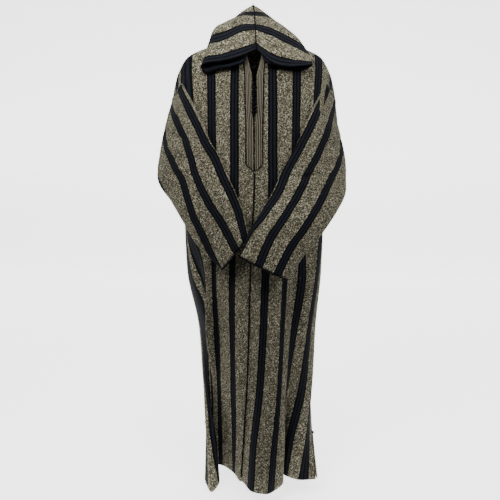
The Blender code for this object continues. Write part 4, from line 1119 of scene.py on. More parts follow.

# %% [markdown]
# ## Colour and nodes
# Colours are given as sRGB hex values, and Blender's shaders take linear ones. One small
# function adds a shader node, sets its options and joins it to the others.

# %% Material helpers
TIMES, PLUS, MINUS = ({"operation": name} for name in ("MULTIPLY", "ADD", "SUBTRACT"))
MORE, LESS = ({"operation": name} for name in ("GREATER_THAN", "LESS_THAN"))
SIZE_OF, REST_OF = ({"operation": name} for name in ("ABSOLUTE", "FLOORED_MODULO"))
COLOURS = {"data_type": "RGBA"}


def linear(code):
    """An sRGB hex colour as a linear one with alpha."""
    parts = [int(code[i:i + 2], 16) / 255 for i in (1, 3, 5)]
    return tuple(c / 12.92 if c <= 0.04045 else ((c + 0.055) / 1.055) ** 2.4 for c in parts) + (1,)


def add_node(tree, kind, settings=None, out=None, **links):
    """Adds a node, sets its options and inputs, and gives the node or one of its outputs."""
    node = tree.nodes.new(kind)
    for key, value in (settings or {}).items():
        setattr(node, key, value)
    for key, source in links.items():
        wanted = int(key[2:]) if key[:2] == "in" and key[2:].isdigit() else key.replace("_", " ")
        if isinstance(source, bpy.types.NodeSocket):
            tree.links.new(source, node.inputs[wanted])
        else:
            node.inputs[wanted].default_value = source
    return node if out is None else node.outputs[out]


def new_material(name, roughness, sheen=0.0):
    """A dull, fibrous finish: its nodes, and the shader that the colour goes into."""
    made = bpy.data.materials.new(name)
    made.use_nodes = True
    shader = made.node_tree.nodes["Principled BSDF"]
    shader.inputs["Roughness"].default_value = roughness
    shader.inputs["Specular IOR Level"].default_value = 0.10
    if sheen:
        shader.inputs["Sheen Weight"].default_value = sheen
        shader.inputs["Sheen Roughness"].default_value = 0.45
    return made, made.node_tree, shader


def finish_material(made, tree, shader, colour, height, strength, depth):
    """Joins the colour and a relief, whose depth is in metres, to the shader."""
    tree.links.new(colour, shader.inputs["Base Color"])
    bump = add_node(tree, "ShaderNodeBump", Height=height, Strength=strength, Distance=depth)
    tree.links.new(bump.outputs["Normal"], shader.inputs["Normal"])
    return made


print("khaki in linear light:", tuple(round(c, 3) for c in linear("#706B5D")))

# %% [markdown]
# ## The woven stripes
# The robe is a heavy wool tweed. Its black bands are 26 mm wide and carry two faint slate lines,
# and their edges are hairy, because the yarns are. An image could hold the stripes, but a few
# nodes that read the UV map, whose units are metres of cloth, stay sharp at any distance, and a
# stripe follows its cloth through every fold.

# %% Stripe nodes
# How far the yarns make a stripe's edge wander, in metres, and half of its blur, in millimetres
HAIRY, BLUR = 0.0030, 0.5
# Slate lines, in metres: their distance from the stripe's middle, and how far from their own
# middle they are gone and are full
SLATE_AT, SLATE_OUTER, SLATE_INNER = 0.0050, 0.0036, 0.0026


def from_stripe(tree, stripe_uv, uv):
    """Distance from the middle of the nearest black stripe, in metres."""
    wobble = add_node(tree, "ShaderNodeTexNoise", out="Fac", Vector=uv, Scale=420.0, Detail=2.0)
    place = add_node(tree, "ShaderNodeSeparateXYZ", out="X", Vector=stripe_uv)
    centred = add_node(tree, "ShaderNodeMath", MINUS, out=0, in0=wobble, in1=0.5)
    shake = add_node(tree, "ShaderNodeMath", TIMES, out=0, in0=centred, in1=HAIRY)
    place = add_node(tree, "ShaderNodeMath", PLUS, out=0, in0=place, in1=shake)
    place = add_node(tree, "ShaderNodeMath", MINUS, out=0, in0=place,
                     in1=(FIRST - PITCH / 2) * MM)
    phase = add_node(tree, "ShaderNodeMath", REST_OF, out=0, in0=place, in1=PITCH * MM)
    aside = add_node(tree, "ShaderNodeMath", MINUS, out=0, in0=phase, in1=PITCH / 2 * MM)
    return add_node(tree, "ShaderNodeMath", SIZE_OF, out=0, in0=aside)


def black_colour(tree, distance, hairs, tints):
    """Black wool with two slate lines and a little grey lint."""
    off_line = add_node(tree, "ShaderNodeMath", MINUS, out=0, in0=distance, in1=SLATE_AT)
    off_line = add_node(tree, "ShaderNodeMath", SIZE_OF, out=0, in0=off_line)
    slate = add_node(tree, "ShaderNodeMapRange", {"interpolation_type": "SMOOTHSTEP"}, out=0,
                     Value=off_line, From_Min=SLATE_OUTER, From_Max=SLATE_INNER)
    broken = add_node(tree, "ShaderNodeMath", TIMES, out=0, in0=hairs, in1=0.5)
    broken = add_node(tree, "ShaderNodeMath", PLUS, out=0, in0=broken, in1=0.45)
    lines = add_node(tree, "ShaderNodeMath", TIMES, out=0, in0=slate, in1=broken)
    black = add_node(tree, "ShaderNodeMix", COLOURS, out=2, in0=lines, in6=linear("#020203"),
                     in7=linear("#1A1D25"))
    lint = add_node(tree, "ShaderNodeMath", MORE, out=0, in0=tints, in1=0.93)
    lint = add_node(tree, "ShaderNodeMath", TIMES, out=0, in0=lint, in1=0.35)
    return add_node(tree, "ShaderNodeMix", COLOURS, out=2, in0=lint, in6=black,
                    in7=linear("#121317"))


print("a stripe every", PITCH, "mm, with slate lines", SLATE_AT / MM, "mm from its middle")

# %% [markdown]
# ## The tweed
# Tweed is spun from mixed yarns: khaki, cream, black and a little brown. Each cell of a Voronoi
# pattern is one fleck of yarn, with a colour of its own. Noise would blend the colours, which
# yarns never do. To the eye the cloth is dull and rough, with hardly any sheen.

# %% Wool cloth
# Flecks in a metre, one every 1.5 mm, coarser than real tweed's so that they show, and hairs,
# one every 0.9 mm. A fleck is longer along the cloth than across it.
FLECKS, HAIRS, FLECK_SHAPE = 670.0, 1150.0, (1.0, 0.72, 1.0)
TWEED = ((0.0, "#0A0A08"), (0.18, "#23231D"), (0.40, "#4A493B"), (0.62, "#605F4D"),
         (0.82, "#83816D"), (1.0, "#CBC6B0"))


def tweed_colour(tree, uv, tint, brown_tint, dark_tint):
    """Colour of each fleck, with brown and dark yarns and a slow change over the cloth."""
    ramp = add_node(tree, "ShaderNodeValToRGB", Fac=tint)
    while len(ramp.color_ramp.elements) < len(TWEED):
        ramp.color_ramp.elements.new(0.5)
    for element, (position, code) in zip(ramp.color_ramp.elements, TWEED):
        element.position, element.color = position, linear(code)
    brown = add_node(tree, "ShaderNodeMath", MORE, out=0, in0=brown_tint, in1=0.84)
    brown = add_node(tree, "ShaderNodeMath", TIMES, out=0, in0=brown, in1=0.55)
    tweed = add_node(tree, "ShaderNodeMix", COLOURS, out=2, in0=brown, in6=ramp.outputs["Color"],
                     in7=linear("#6E574A"))
    dark = add_node(tree, "ShaderNodeMath", LESS, out=0, in0=dark_tint, in1=0.20)
    dark = add_node(tree, "ShaderNodeMath", TIMES, out=0, in0=dark, in1=0.6)
    tweed = add_node(tree, "ShaderNodeMix", COLOURS, out=2, in0=dark, in6=tweed,
                     in7=linear("#14130F"))
    slow = add_node(tree, "ShaderNodeTexNoise", out="Fac", Vector=uv, Scale=16.0, Detail=3.0)
    shade = add_node(tree, "ShaderNodeMapRange", out=0, Value=slow, From_Min=0.3, From_Max=0.7,
                     To_Min=0.0, To_Max=0.22)
    return add_node(tree, "ShaderNodeMix", COLOURS, out=2, in0=shade, in6=tweed,
                    in7=linear("#3F3D2E"))


def wool_material():
    """Striped tweed, woven in a twill whose ribs are 3 mm apart."""
    made, tree, shader = new_material("striped wool tweed", 0.97, sheen=0.004)
    stripe_uv = add_node(tree, "ShaderNodeUVMap", {"uv_map": "cloth"}, out="UV")
    uv = add_node(tree, "ShaderNodeUVMap", {"uv_map": "bolt"}, out="UV")
    ragged = add_node(tree, "ShaderNodeTexNoise", out="Color", Vector=uv, Scale=900.0, Detail=1.0)
    bent = add_node(tree, "ShaderNodeVectorMath", {"operation": "MULTIPLY_ADD"}, out=0,
                    in0=ragged, in1=(0.0016, 0.0016, 0.0), in2=uv)
    yarn = add_node(tree, "ShaderNodeMapping", out=0, Vector=bent, Scale=FLECK_SHAPE)
    flecks = add_node(tree, "ShaderNodeTexVoronoi", out="Color", Vector=yarn, Scale=FLECKS)
    hairs = add_node(tree, "ShaderNodeTexVoronoi", Vector=yarn, Scale=HAIRS)
    large = add_node(tree, "ShaderNodeSeparateColor", Color=flecks)
    small = add_node(tree, "ShaderNodeSeparateColor", Color=hairs.outputs["Color"])
    tweed = tweed_colour(tree, uv, large.outputs[0], large.outputs[1], small.outputs[0])
    distance = from_stripe(tree, stripe_uv, uv)
    black = black_colour(tree, distance, hairs.outputs["Distance"], small.outputs[1])
    edge = add_node(tree, "ShaderNodeMapRange", out=0, Value=distance,
                    From_Min=(BLACK_WIDTH / 2 - BLUR) * MM, From_Max=(BLACK_WIDTH / 2 + BLUR) * MM)
    colour = add_node(tree, "ShaderNodeMix", COLOURS, out=2, in0=edge, in6=black, in7=tweed)
    weave = add_node(tree, "ShaderNodeTexWave", {"bands_direction": "DIAGONAL"}, out="Fac",
                     Vector=uv, Scale=150.0, Distortion=1.5)
    ribs = add_node(tree, "ShaderNodeMath", TIMES, out=0, in0=weave, in1=0.5)
    nap = add_node(tree, "ShaderNodeMath", TIMES, out=0, in0=hairs.outputs["Distance"], in1=0.9)
    height = add_node(tree, "ShaderNodeMath", PLUS, out=0, in0=ribs, in1=nap)
    return finish_material(made, tree, shader, colour, height, 0.55, 0.0007)


wool = wool_material()
print("made", wool.name, "with", len(wool.node_tree.nodes), "nodes")

# %% [markdown]
# ## The sheets
# Each net becomes one sheet of quads, with its cloth distances as two UV maps in metres. Solidify
# gives it the thickness of a heavy wool cloth, which a single face would lack at every edge and
# slit.

# %% Sheets of cloth
CLOTH_THICKNESS = 0.0016
# Each piece is cut from its own place on the bolt, so that no two show the same flecks
BOLT_STEP = 1730


def add_piece(name, mesh, finish):
    """Puts a finished mesh in the scene as a piece of the robe."""
    piece = bpy.data.objects.new(name, mesh)
    bpy.context.scene.collection.objects.link(piece)
    mesh.materials.append(finish)
    mesh.shade_smooth()
    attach(piece, "root")
    return piece


def grid_mesh(name, net, closed=False):
    """A net as a mesh of quads, whose last column can be joined to its first."""
    rows, columns = net.shape[:2]
    numbers = np.arange(rows * columns).reshape(rows, columns)
    right = np.roll(numbers, -1, axis=1) if closed else numbers[:, 1:]
    left = numbers if closed else numbers[:, :-1]
    faces = np.stack([left[:-1], left[1:], right[1:], right[:-1]], axis=-1).reshape(-1, 4)
    mesh = bpy.data.meshes.new(name)
    mesh.from_pydata(net.reshape(-1, 3).tolist(), [], faces.tolist())
    return mesh


def set_uv(mesh, across_s, down, layer="cloth"):
    """Writes cloth distances, in metres, as one of the mesh's UV maps."""
    values = np.stack([np.ravel(across_s), np.ravel(down)], axis=1) * MM
    corners = np.empty(len(mesh.loops), int)
    mesh.loops.foreach_get("vertex_index", corners)
    made = mesh.uv_layers.new(name=layer)
    made.data.foreach_set("uv", values[corners].astype(np.float32).ravel())


def sheet_piece(name, node):
    """One piece of cloth: its mesh, two UV maps and thickness, in the place of its imported node.
    """
    mesh = grid_mesh(name, nets[node])
    across_s, down = cloth[node]
    set_uv(mesh, np.abs(across_s) if node == "back" else across_s, down)
    true_across, true_down = bolt[node]
    set_uv(mesh, true_across, true_down + list(nets).index(node) * BOLT_STEP, "bolt")
    piece = add_piece(name, mesh, wool)
    solidify = piece.modifiers.new("thickness", "SOLIDIFY")
    solidify.thickness = CLOTH_THICKNESS
    solidify.offset = 0.0
    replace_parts(piece, node)


def net_area(net):
    """Area of a net, as two triangles a quad."""
    a = np.cross(net[1:, :-1] - net[:-1, :-1], net[:-1, 1:] - net[:-1, :-1])
    b = np.cross(net[1:, :-1] - net[1:, 1:], net[:-1, 1:] - net[1:, 1:])
    return float(np.linalg.norm(a, axis=2).sum() + np.linalg.norm(b, axis=2).sum()) / 2


for name, net in nets.items():
    print(name, "has", round(net_area(net), 3), "square metres of cloth")
for name in ("left", "right"):
    sheet_piece("front_cloth_" + name, "front_" + name)
    sheet_piece("sleeve_cloth_" + name, "sleeve_" + name)
    sheet_piece("hood_cloth_" + name, "hood_" + name)
sheet_piece("back_cloth", "back")

# %% [markdown]
# ## A place on the front
# Braid and cords are sewn to the front, so their paths are given as cloth distances and then
# looked up on the sheet. A shrinkwrap would find the nearest point, which in a fold can be the
# wrong side of it.

# %% Finding a place on a sheet
def on_front(side, s, fall):
    """A point of a front sheet and its outward normal, at a cloth distance and a fall."""
    name = "front_left" if side == LEFT else "front_right"
    rows, columns = nets[name].shape[:2]
    # The last point is taken as just inside the last cell of the net
    i = np.clip(fall / FRONT_LENGTH * (rows - 1), 0, rows - 1.001)
    j = np.clip(s / HALF_WIDTH * (columns - 1), 0, columns - 1.001)
    r, c = int(i), int(j)
    u, v = i - r, j - c
    pair = []
    for field in (nets[name], normals[name]):
        upper = field[r, c] * (1 - v) + field[r, c + 1] * v
        lower = field[r + 1, c] * (1 - v) + field[r + 1, c + 1] * v
        pair.append(upper * (1 - u) + lower * u)
    return pair[0], unit(pair[1])


print("the braid starts at", on_front(LEFT, 2.5, 12)[0].round(3))

# %% [markdown]
# ## Braid and cord finishes
# The braid is plaited from khaki wool into flat ribs, and painted shade darkens the furrows between
# them nearly to black. The cords are black wool, twisted. To the eye both are dull and fibrous. The
# plait is drawn as diagonal bands 1.7 mm apart that read the braid's own UV map, and the fibre as
# noise 0.6 mm in size.

# %% Braid and cord finishes
# Distances s of the braid's edges, and its ribs
BRAID_FROM, BRAID_TO, RIBS = 2.0, 21.0, 4
RIB_PITCH = (BRAID_TO - BRAID_FROM) / RIBS * MM
# Shares of a rib's width, from its middle, between which the furrow's painted shade grows
FURROW_FROM, FURROW_TO = 0.15, 0.27


def braid_material():
    """Khaki braid, with painted shade, nearly black, in its furrows."""
    made, tree, shader = new_material("flat wool braid", 0.9, sheen=0.05)
    uv = add_node(tree, "ShaderNodeUVMap", {"uv_map": "cloth"}, out="UV")
    weave = add_node(tree, "ShaderNodeTexWave", {"bands_direction": "DIAGONAL"}, out="Fac",
                     Vector=uv, Scale=260.0, Distortion=0.8)
    flecks = add_node(tree, "ShaderNodeTexNoise", out="Fac", Vector=uv, Scale=900.0, Detail=2.0)
    place = add_node(tree, "ShaderNodeSeparateXYZ", out="X", Vector=uv)
    rib = add_node(tree, "ShaderNodeMath", REST_OF, out=0, in0=place, in1=RIB_PITCH)
    aside = add_node(tree, "ShaderNodeMath", MINUS, out=0, in0=rib, in1=RIB_PITCH / 2)
    furrow = add_node(tree, "ShaderNodeMath", SIZE_OF, out=0, in0=aside)
    # Painted shade: a mask that is 1 in the furrows between the ribs
    furrow_shade = add_node(tree, "ShaderNodeMapRange", out=0, Value=furrow,
                    From_Min=RIB_PITCH * FURROW_FROM, From_Max=RIB_PITCH * FURROW_TO)
    light = add_node(tree, "ShaderNodeMix", COLOURS, out=2, in0=flecks, in6=linear("#645F51"),
                     in7=linear("#928B77"))
    plait = add_node(tree, "ShaderNodeMath", TIMES, out=0, in0=weave, in1=0.35)
    light = add_node(tree, "ShaderNodeMix", COLOURS, out=2, in0=plait, in6=light,
                     in7=linear("#4A463C"))
    # Painted shade: the furrows turn nearly black
    colour = add_node(tree, "ShaderNodeMix", COLOURS, out=2, in0=furrow_shade, in6=light,
                      in7=linear("#060504"))
    return finish_material(made, tree, shader, colour, weave, 0.5, 0.0004)


def cord_material(name, code, lighter):
    """Twisted cord whose fibres catch a little light."""
    made, tree, shader = new_material(name, 0.85)
    place = add_node(tree, "ShaderNodeTexCoord", out="Object")
    fibre = add_node(tree, "ShaderNodeTexNoise", out="Fac", Vector=place, Scale=1600.0, Detail=3.0)
    colour = add_node(tree, "ShaderNodeMix", COLOURS, out=2, in0=fibre, in6=linear(code),
                      in7=linear(lighter))
    return finish_material(made, tree, shader, colour, fibre, 0.4, 0.0003)


braid_finish = braid_material()
cord_finish = cord_material("black wool cord", "#020203", "#0D0E12")
print("made", braid_finish.name, "and", cord_finish.name)

# %% [markdown]
# ## Braid beside the neck slit
# Two flat braids run down beside the slit, each of four small ribs, and meet in a point below it.
# A braid could be plaited strand by strand, but at this size only its ribs and bands show. So it
# is a ribbed strip that follows the front's surface, closed underneath.

# %% Braids
# Falls of the braid's top and point, how much sooner its outer edge ends, and its rows' spacing
BRAID_TOP, BRAID_TIP, TIP_SLOPE, BRAID_STEP = 8, 338, 17, 3.0
# Gap between trim and cloth in metres, and the ribs' lowest and extra height in millimetres
SEWN_GAP = 0.0002
RIB_LOW, RIB_MORE = 0.5, 1.7
half_cloth = CLOTH_THICKNESS / 2
across_braid = np.linspace(0, 1, RIBS * 6 + 1)
rib_height = RIB_LOW + RIB_MORE * np.abs(np.sin(np.pi * RIBS * across_braid)) ** 0.7


def braid_piece(side, name, node):
    """One braid: rows of points across its ribs and back along its underside."""
    width = BRAID_TO - BRAID_FROM
    shares = list(across_braid) + [1, 0]
    heights = list(rib_height) + [0, 0]
    falls = np.arange(BRAID_TOP, BRAID_TIP + BRAID_STEP, BRAID_STEP)
    rows = []
    for fall in falls:
        row = []
        for share, height in zip(shares, heights):
            end = BRAID_TIP - TIP_SLOPE * share
            place, out = on_front(side, BRAID_FROM + share * width, min(fall, end))
            row.append(place + out * (half_cloth + SEWN_GAP + height * MM))
        rows.append(row)
    mesh = grid_mesh(name, np.array(rows), closed=True)
    set_uv(mesh, [[share * width for share in shares]] * len(falls),
           [[fall] * len(shares) for fall in falls])
    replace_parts(add_piece(name, mesh, braid_finish), node)


braid_piece(LEFT, "ribbed_braid_left", "braid_left")
braid_piece(RIGHT, "ribbed_braid_right", "braid_right")
print("two braids of", RIBS, "ribs")

# %% [markdown]
# ## Twisted cords
# Every cord is two yarns wound round each other, which shows as slanting ridges. A picture of a
# twist on a plain tube would look flat at the edge, so both yarns are made: a path is cut into
# even steps, a frame is carried along it without letting it spin, and a ring sweeps round it.

# %% Rings along a path
YARN_SIDES = 6
# Any direction that no path here starts in, to give the first frame its side
FIRST_SIDE = (0.31, 0.22, 0.92)


def resampled(points, step, closed):
    """Points at even steps along a path, and their distances from its start."""
    points = np.asarray(points, float)
    if closed:
        points = np.concatenate([points, points[:1]])
    run = np.concatenate([[0], np.cumsum(np.linalg.norm(np.diff(points, axis=0), axis=1))])
    count = max(3, int(round(run[-1] / step)) + 1)
    at = np.linspace(0, run[-1], count)
    return np.stack([np.interp(at, run, points[:, k]) for k in range(3)], axis=1), at


def carried_frame(ahead):
    """Two directions square to a path all along it, which don't spin round it."""
    first = [unit(np.cross(ahead[0], FIRST_SIDE)[None])[0]]
    for way in ahead[1:]:
        turned = first[-1] - way * first[-1].dot(way)
        first.append(turned / np.linalg.norm(turned))
    return np.array(first), np.cross(ahead, first)


def rings(centre, radius, first, second):
    """A ring of points round every place of a path."""
    turn = np.linspace(0, 2 * np.pi, YARN_SIDES, endpoint=False)[None, :, None]
    return centre[:, None] + radius * (first[:, None] * np.cos(turn)
                                       + second[:, None] * np.sin(turn))


def merged_mesh(name, grids):
    """One mesh from several tubes, each with its two ends closed."""
    vertices, faces, start = [], [], 0
    for grid in grids:
        rows, columns = grid.shape[:2]
        numbers = start + np.arange(rows * columns).reshape(rows, columns)
        after = np.roll(numbers, -1, axis=1)
        quads = np.stack([numbers[:-1], numbers[1:], after[1:], after[:-1]], axis=-1)
        faces += quads.reshape(-1, 4).tolist()
        faces += [numbers[0].tolist(), numbers[-1][::-1].tolist()]
        vertices.append(grid.reshape(-1, 3))
        start += rows * columns
    mesh = bpy.data.meshes.new(name)
    mesh.from_pydata(np.concatenate(vertices).tolist(), [], faces)
    return mesh


print("a yarn has", YARN_SIDES, "sides")

# %% [markdown]
# ## Cords along the braid and the front seam
# A cord edges each braid and turns in to its point, and a thicker one covers the seam below. Under
# the last knot the slit's edges meet, and a thinner black cord runs down the middle there and
# darkens the line between the braids. Each cord lies on the cloth, so its path is lifted by half
# the cloth's thickness and about its own radius.

# %% Twisted cord
# Radii in metres, and the length over which the two yarns make one turn
CORD, FRONT_CORD, SLIT_CORD = 0.0015, 0.0024, 0.0014
CORD_TURN, THIN_TURN = 0.007, 0.005
YARN_SHARE = 0.62
CORD_STEP = 0.0013
# The cord round a braid: its distance s, the falls where it starts and turns in, and how far it
# then goes inwards and down, in eight steps
CORD_S, CORD_TOP, CORD_CORNER, CORNER_IN, CORNER_DOWN = 23.3, 6, 322, 21.8, 20
PATH_STEP = 4
# Falls between which the two cords on the middle seam run, and how far they are lifted
FRONT_FALLS, FRONT_LIFT = (346, 1262), 0.0021
SLIT_FALLS, SLIT_LIFT = (180, 343), 0.0013


def twisted_net(points, radius, turn=CORD_TURN, closed=False):
    """The two yarns of a cord, each as a grid of points."""
    path, at = resampled(points, CORD_STEP, closed)
    ahead = unit(np.gradient(path, axis=0))
    if closed:
        ahead[0] = ahead[-1] = unit((path[1] - path[-2])[None])[0]
    frame_x, frame_y = carried_frame(ahead)
    turns = at[-1] / turn
    if closed:
        turns = round(turns)
    yarn = radius * YARN_SHARE
    grids = []
    for half in range(2):
        angle = 2 * np.pi * turns * at / at[-1] + np.pi * half
        lean = frame_x * np.cos(angle)[:, None] + frame_y * np.sin(angle)[:, None]
        grids.append(rings(path + lean * (radius - yarn), yarn, lean, np.cross(ahead, lean)))
    return grids


def cord_piece(name, path, radius, stands_for=None, closed=False, turn=CORD_TURN):
    """A cord on its path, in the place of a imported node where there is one."""
    mesh = merged_mesh(name, twisted_net(path, radius, turn, closed))
    piece = add_piece(name, mesh, cord_finish)
    if stands_for:
        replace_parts(piece, stands_for)
    length = np.linalg.norm(np.diff(np.asarray(path), axis=0), axis=1).sum()
    print(name, "is", round(float(length), 3), "m long")


def front_path(side, places, lift):
    """A path on a front sheet, lifted off its middle by a distance in metres."""
    found = [on_front(side, s, fall) for s, fall in places]
    return [place + out * (half_cloth + lift) for place, out in found]


for side, name in ((LEFT, "left"), (RIGHT, "right")):
    straight = [(CORD_S, fall) for fall in np.arange(CORD_TOP, CORD_CORNER, PATH_STEP)]
    corner = [(CORD_S - CORNER_IN * k / 8, CORD_CORNER + CORNER_DOWN * k / 8) for k in range(1, 9)]
    cord_piece("twisted_braid_cord_" + name, front_path(side, straight + corner, CORD + SEWN_GAP),
               CORD, "braid_cord_" + name)
centre_line = [(0, fall) for fall in np.arange(*FRONT_FALLS, PATH_STEP)]
cord_piece("twisted_front_cord", front_path(LEFT, centre_line, FRONT_LIFT), FRONT_CORD,
           "front_cord")
# A thinner black cord down the middle darkens the line between the braids
closed_slit = [(0, fall) for fall in np.arange(*SLIT_FALLS, PATH_STEP)]
cord_piece("dark_centre_line_cord", front_path(LEFT, closed_slit, SLIT_LIFT), SLIT_CORD)

# %% [markdown]
# ## Cords on the other seams
# A cord also covers the hood's centre seam, edges both cuffs and marks the head of each sleeve.
# They take their paths from the sheets' own edge columns, so that they can't leave their seams.

# %% Hood, cuff and armhole cords
HOOD_CORD, CUFF_CORD, ARMHOLE_CORD = 0.0019, 0.0030, 0.0010
# How far the cuff's cord lies beyond the sleeve's end, and how far the armhole's is lifted
PAST_CUFF, ARMHOLE_LIFT = 0.0014, 0.0009
SAME_PLACE = 1e-5

seam = (nets["hood_left"][:, -1] + nets["hood_right"][:, -1]) / 2
seam_out = unit(normals["hood_left"][:, -2] + normals["hood_right"][:, -2])
cord_piece("twisted_hood_cord", seam + seam_out * (half_cloth + CORD + SEWN_GAP), HOOD_CORD,
           "hood_cord")
for name in ("left", "right"):
    net = nets["sleeve_" + name]
    along = unit((net[-1] - net[-3]).mean(axis=0)[None])[0]
    ring = net[-1][:-1] + along * PAST_CUFF
    keep = np.linalg.norm(ring - np.roll(ring, 1, axis=0), axis=1) > SAME_PLACE
    cord_piece("twisted_cuff_cord_" + name, ring[keep], CUFF_CORD, "cuff_cord_" + name,
               closed=True)
    head, head_out = net[1, tuck_columns:], normals["sleeve_" + name][1, tuck_columns:]
    cord_piece("armhole_cord_" + name, head + head_out * (half_cloth + ARMHOLE_LIFT),
               ARMHOLE_CORD, turn=THIN_TURN)

# %% [markdown]
# ## Knot buttons and loops
# Each button is a ball knot of thin cord: one closed line that winds over and under round a ball.
# Its loops come from the braids on both sides. A plain ball would be simpler, but its smooth
# outline would give it away. The cord is too thin to show a twist, so it is a plain tube.

# %% Ball knot
# Steps in the knot's line, how much it swings in and out, and how far it climbs from the middle,
# then how often it goes round, swings and climbs
KNOT_STEPS, SWING, CLIMB = 120, 0.22, 1.0
WINDS, SWINGS, CLIMBS = 2, 7, 4
TUBE_STEP = 0.0012


def ball_knot(centre, size):
    """A closed line wound round a ball, which crosses over and under itself."""
    turn = np.linspace(0, 2 * np.pi, KNOT_STEPS, endpoint=False)
    swing = 1 + SWING * np.cos(SWINGS * turn)
    polar = np.pi / 2 + CLIMB * np.sin(CLIMBS * turn)
    shape = np.stack([np.cos(WINDS * turn) * np.sin(polar), np.cos(polar),
                      np.sin(WINDS * turn) * np.sin(polar)], axis=1)
    return centre + shape * swing[:, None] * size


def round_tube(points, radius, closed=False):
    """A plain tube along a path."""
    path, _ = resampled(points, TUBE_STEP, closed)
    return rings(path, radius, *carried_frame(unit(np.gradient(path, axis=0))))


print("the knot's line has", KNOT_STEPS, "steps")

# %% [markdown]
# ## Nine knots
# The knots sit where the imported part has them. An inner knot fills the outer one's ball, and two
# strands on each side make the loop.

# %% Knot buttons
# Half sizes of the outer and the inner knot, and the radii of their cord and the loops'
OUTER_KNOT, OUTER_CORD = (0.0040, 0.0030, 0.0036), 0.0013
INNER_KNOT, INNER_CORD = (0.0018, 0.0012, 0.0016), 0.0017
LOOP_CORD = 0.0009
# A loop's strand: how far behind the knot's middle it lies, and how it sinks, parts and bows
LOOP_BACK, LOOP_SINK, LOOP_APART, LOOP_BOW = 0.0012, 0.001, 0.0012, 0.0016

knot_nodes = ["knot_%02d" % number for number in range(1, 10)]
tubes = []
for node in knot_nodes:
    low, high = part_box(node)
    centre = np.array([(a + b) / 2 for a, b in zip(low, high)])
    reach = (high[0] - low[0]) / 2
    tubes.append(round_tube(ball_knot(centre, np.array(OUTER_KNOT)), OUTER_CORD, closed=True))
    tubes.append(round_tube(ball_knot(centre, np.array(INNER_KNOT)), INNER_CORD, closed=True))
    for side in (LEFT, RIGHT):
        for up in (-1, 1):
            bow = [centre + (side * reach * t, LOOP_BACK + LOOP_SINK * t,
                             up * (LOOP_APART + LOOP_BOW * math.sin(math.pi * t)))
                   for t in np.linspace(0.2, 1.0, 9)]
            tubes.append(round_tube(bow, LOOP_CORD))
knots = add_piece("knot_buttons", merged_mesh("knot_buttons", tubes), cord_finish)
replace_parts(knots, *knot_nodes)
print(len(knot_nodes), "knot buttons with their loops")

# %% [markdown]
# ## Side slits
# A cord edges both sides of each side slit, which would fray without it, and a small knot closes
# its top. They are made as one piece, because they are alike and nothing packed stands for them.

# %% Slit cords
EDGE_CORD, EDGE_LIFT, TOP_KNOT_LIFT = 0.0011, 0.0010, 0.0032
TOP_KNOT = (0.0032, 0.0024, 0.0032)

rows_front = [i for i, fall in enumerate(front_fall) if fall >= SLIT_TOP_FALL]
rows_back = [i for i, fall in enumerate(back_fall) if fall + BACK_SHORTER >= SLIT_TOP_FALL]
slit_paths, slit_knots = [], []
for name, column, inner in (("front_left", 0, 1), ("front_right", -1, -2)):
    front_out = normals[name][rows_front, -2]
    slit_paths.append(nets[name][rows_front, -1] + front_out * (half_cloth + EDGE_LIFT))
    back_out = normals["back"][rows_back, inner]
    slit_paths.append(nets["back"][rows_back, column] + back_out * (half_cloth + EDGE_LIFT))
    top = nets[name][rows_front[0], -1] + front_out[0] * TOP_KNOT_LIFT
    slit_knots.append(round_tube(ball_knot(top, np.array(TOP_KNOT)), OUTER_CORD, closed=True))
grids = [grid for path in slit_paths for grid in twisted_net(path, EDGE_CORD, THIN_TURN)]
add_piece("side_slit_cords", merged_mesh("side_slit_cords", grids + slit_knots), cord_finish)
print(len(slit_paths), "slit edges corded")

# %% [markdown]
# ## Floor
# The robe stands over a plain pale floor that curves up behind it, as photographers' paper does.
# With no edge between floor and wall, nothing draws the eye from the robe. The paper glows a
# little, so that it stays even and nearly white whatever the lamps do.

# %% Floor
# In metres: gap under the robe, front edge, where the bend starts, its radius, the wall's height
FLOOR_GAP, FLOOR_FRONT, BEND_AT, BEND_RADIUS, WALL_HEIGHT = 0.004, -0.35, 2.6, 0.8, 5.2
FLOOR_X = (-4.5, -2.0, 0.0, 2.0, 4.5)
PAPER_GLOW = 2.4

floor_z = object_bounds()[0].z - FLOOR_GAP
profile = [(FLOOR_FRONT, 0), (BEND_AT, 0)]
profile += [(BEND_AT + BEND_RADIUS * math.sin(a), BEND_RADIUS * (1 - math.cos(a)))
            for a in np.linspace(0.1, math.pi / 2, 14)]
profile += [(BEND_AT + BEND_RADIUS, WALL_HEIGHT)]
sweep = np.array([[(x, y, floor_z + z) for x in FLOOR_X] for y, z in profile])
backdrop_mesh = grid_mesh("backdrop", sweep)
backdrop_mesh.shade_smooth()
backdrop = bpy.data.objects.new("backdrop", backdrop_mesh)
bpy.context.scene.collection.objects.link(backdrop)
paper, paper_tree, paper_shader = new_material("pale paper", 0.9)
paper_place = add_node(paper_tree, "ShaderNodeTexCoord", out="Object")
grain = add_node(paper_tree, "ShaderNodeTexNoise", out="Fac", Vector=paper_place, Scale=3.0)
tone = add_node(paper_tree, "ShaderNodeMix", COLOURS, out=2, in0=grain, in6=linear("#FCFCFB"),
                in7=linear("#F6F6F4"))
paper_tree.links.new(tone, paper_shader.inputs["Base Color"])
paper_shader.inputs["Emission Color"].default_value = linear("#FFFFFF")
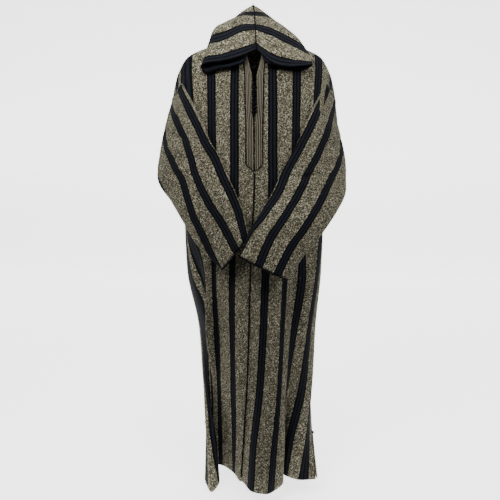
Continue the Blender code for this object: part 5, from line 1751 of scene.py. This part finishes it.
paper_shader.inputs["Emission Strength"].default_value = PAPER_GLOW
backdrop_mesh.materials.append(paper)
print("floor at", round(floor_z, 3))

# %% [markdown]
# ## Lights
# Three large, soft panels light the robe: a key from the left, a weaker fill from the right and one
# from above. Small lamps would draw hard shadows, which the photo hasn't got. Their spread is
# narrowed, so that less of their light falls on the paper.

# %% Lights
LAMP_SPREAD, WORLD_STRENGTH = 100, 0.12


def soft_panel(name, place, aim, size, power):
    """A square lamp, in metres and watts, that points at a place."""
    lamp = bpy.data.lights.new(name, "AREA")
    lamp.shape, lamp.size, lamp.energy = "SQUARE", size, power
    lamp.spread = math.radians(LAMP_SPREAD)
    holder = bpy.data.objects.new(name, lamp)
    bpy.context.scene.collection.objects.link(holder)
    holder.location = place
    holder.rotation_euler = (Vector(aim) - Vector(place)).to_track_quat("-Z", "Y").to_euler()


soft_panel("key_panel", place=(-0.9, -1.45, 1.2), aim=(0, 0, 0), size=1.0, power=18)
soft_panel("fill_panel", place=(1.2, -1.6, 1.05), aim=(0, 0, 0), size=1.4, power=12)
soft_panel("top_panel", place=(0.1, -0.4, 1.7), aim=(0, 0, -0.1), size=1.2, power=9)
world = bpy.context.scene.world or bpy.data.worlds.new("studio")
bpy.context.scene.world = world
world.use_nodes = True
world.node_tree.nodes["Background"].inputs["Color"].default_value = linear("#F4F6FA")
world.node_tree.nodes["Background"].inputs["Strength"].default_value = WORLD_STRENGTH
print("three panels and a pale world")

# %% [markdown]
# ## Camera
# The photo looks straight at the robe from above its middle, tilted down. Place, tilt and lens were
# matched until the hood's tip, the cuffs and the hem fell on the photo's own.

# %% Camera
LENS_MM, LOOK_DOWN = 50.976, 11.6

lens = bpy.data.cameras.new("camera")
lens.sensor_width, lens.lens = 36, LENS_MM
camera = bpy.data.objects.new("camera", lens)
bpy.context.scene.collection.objects.link(camera)
camera.location = (-0.012, -2.15, -0.18)
camera.rotation_euler = (math.radians(90 - LOOK_DOWN), 0, 0)
bpy.context.scene.camera = camera
print("camera at", tuple(round(c, 3) for c in camera.location))
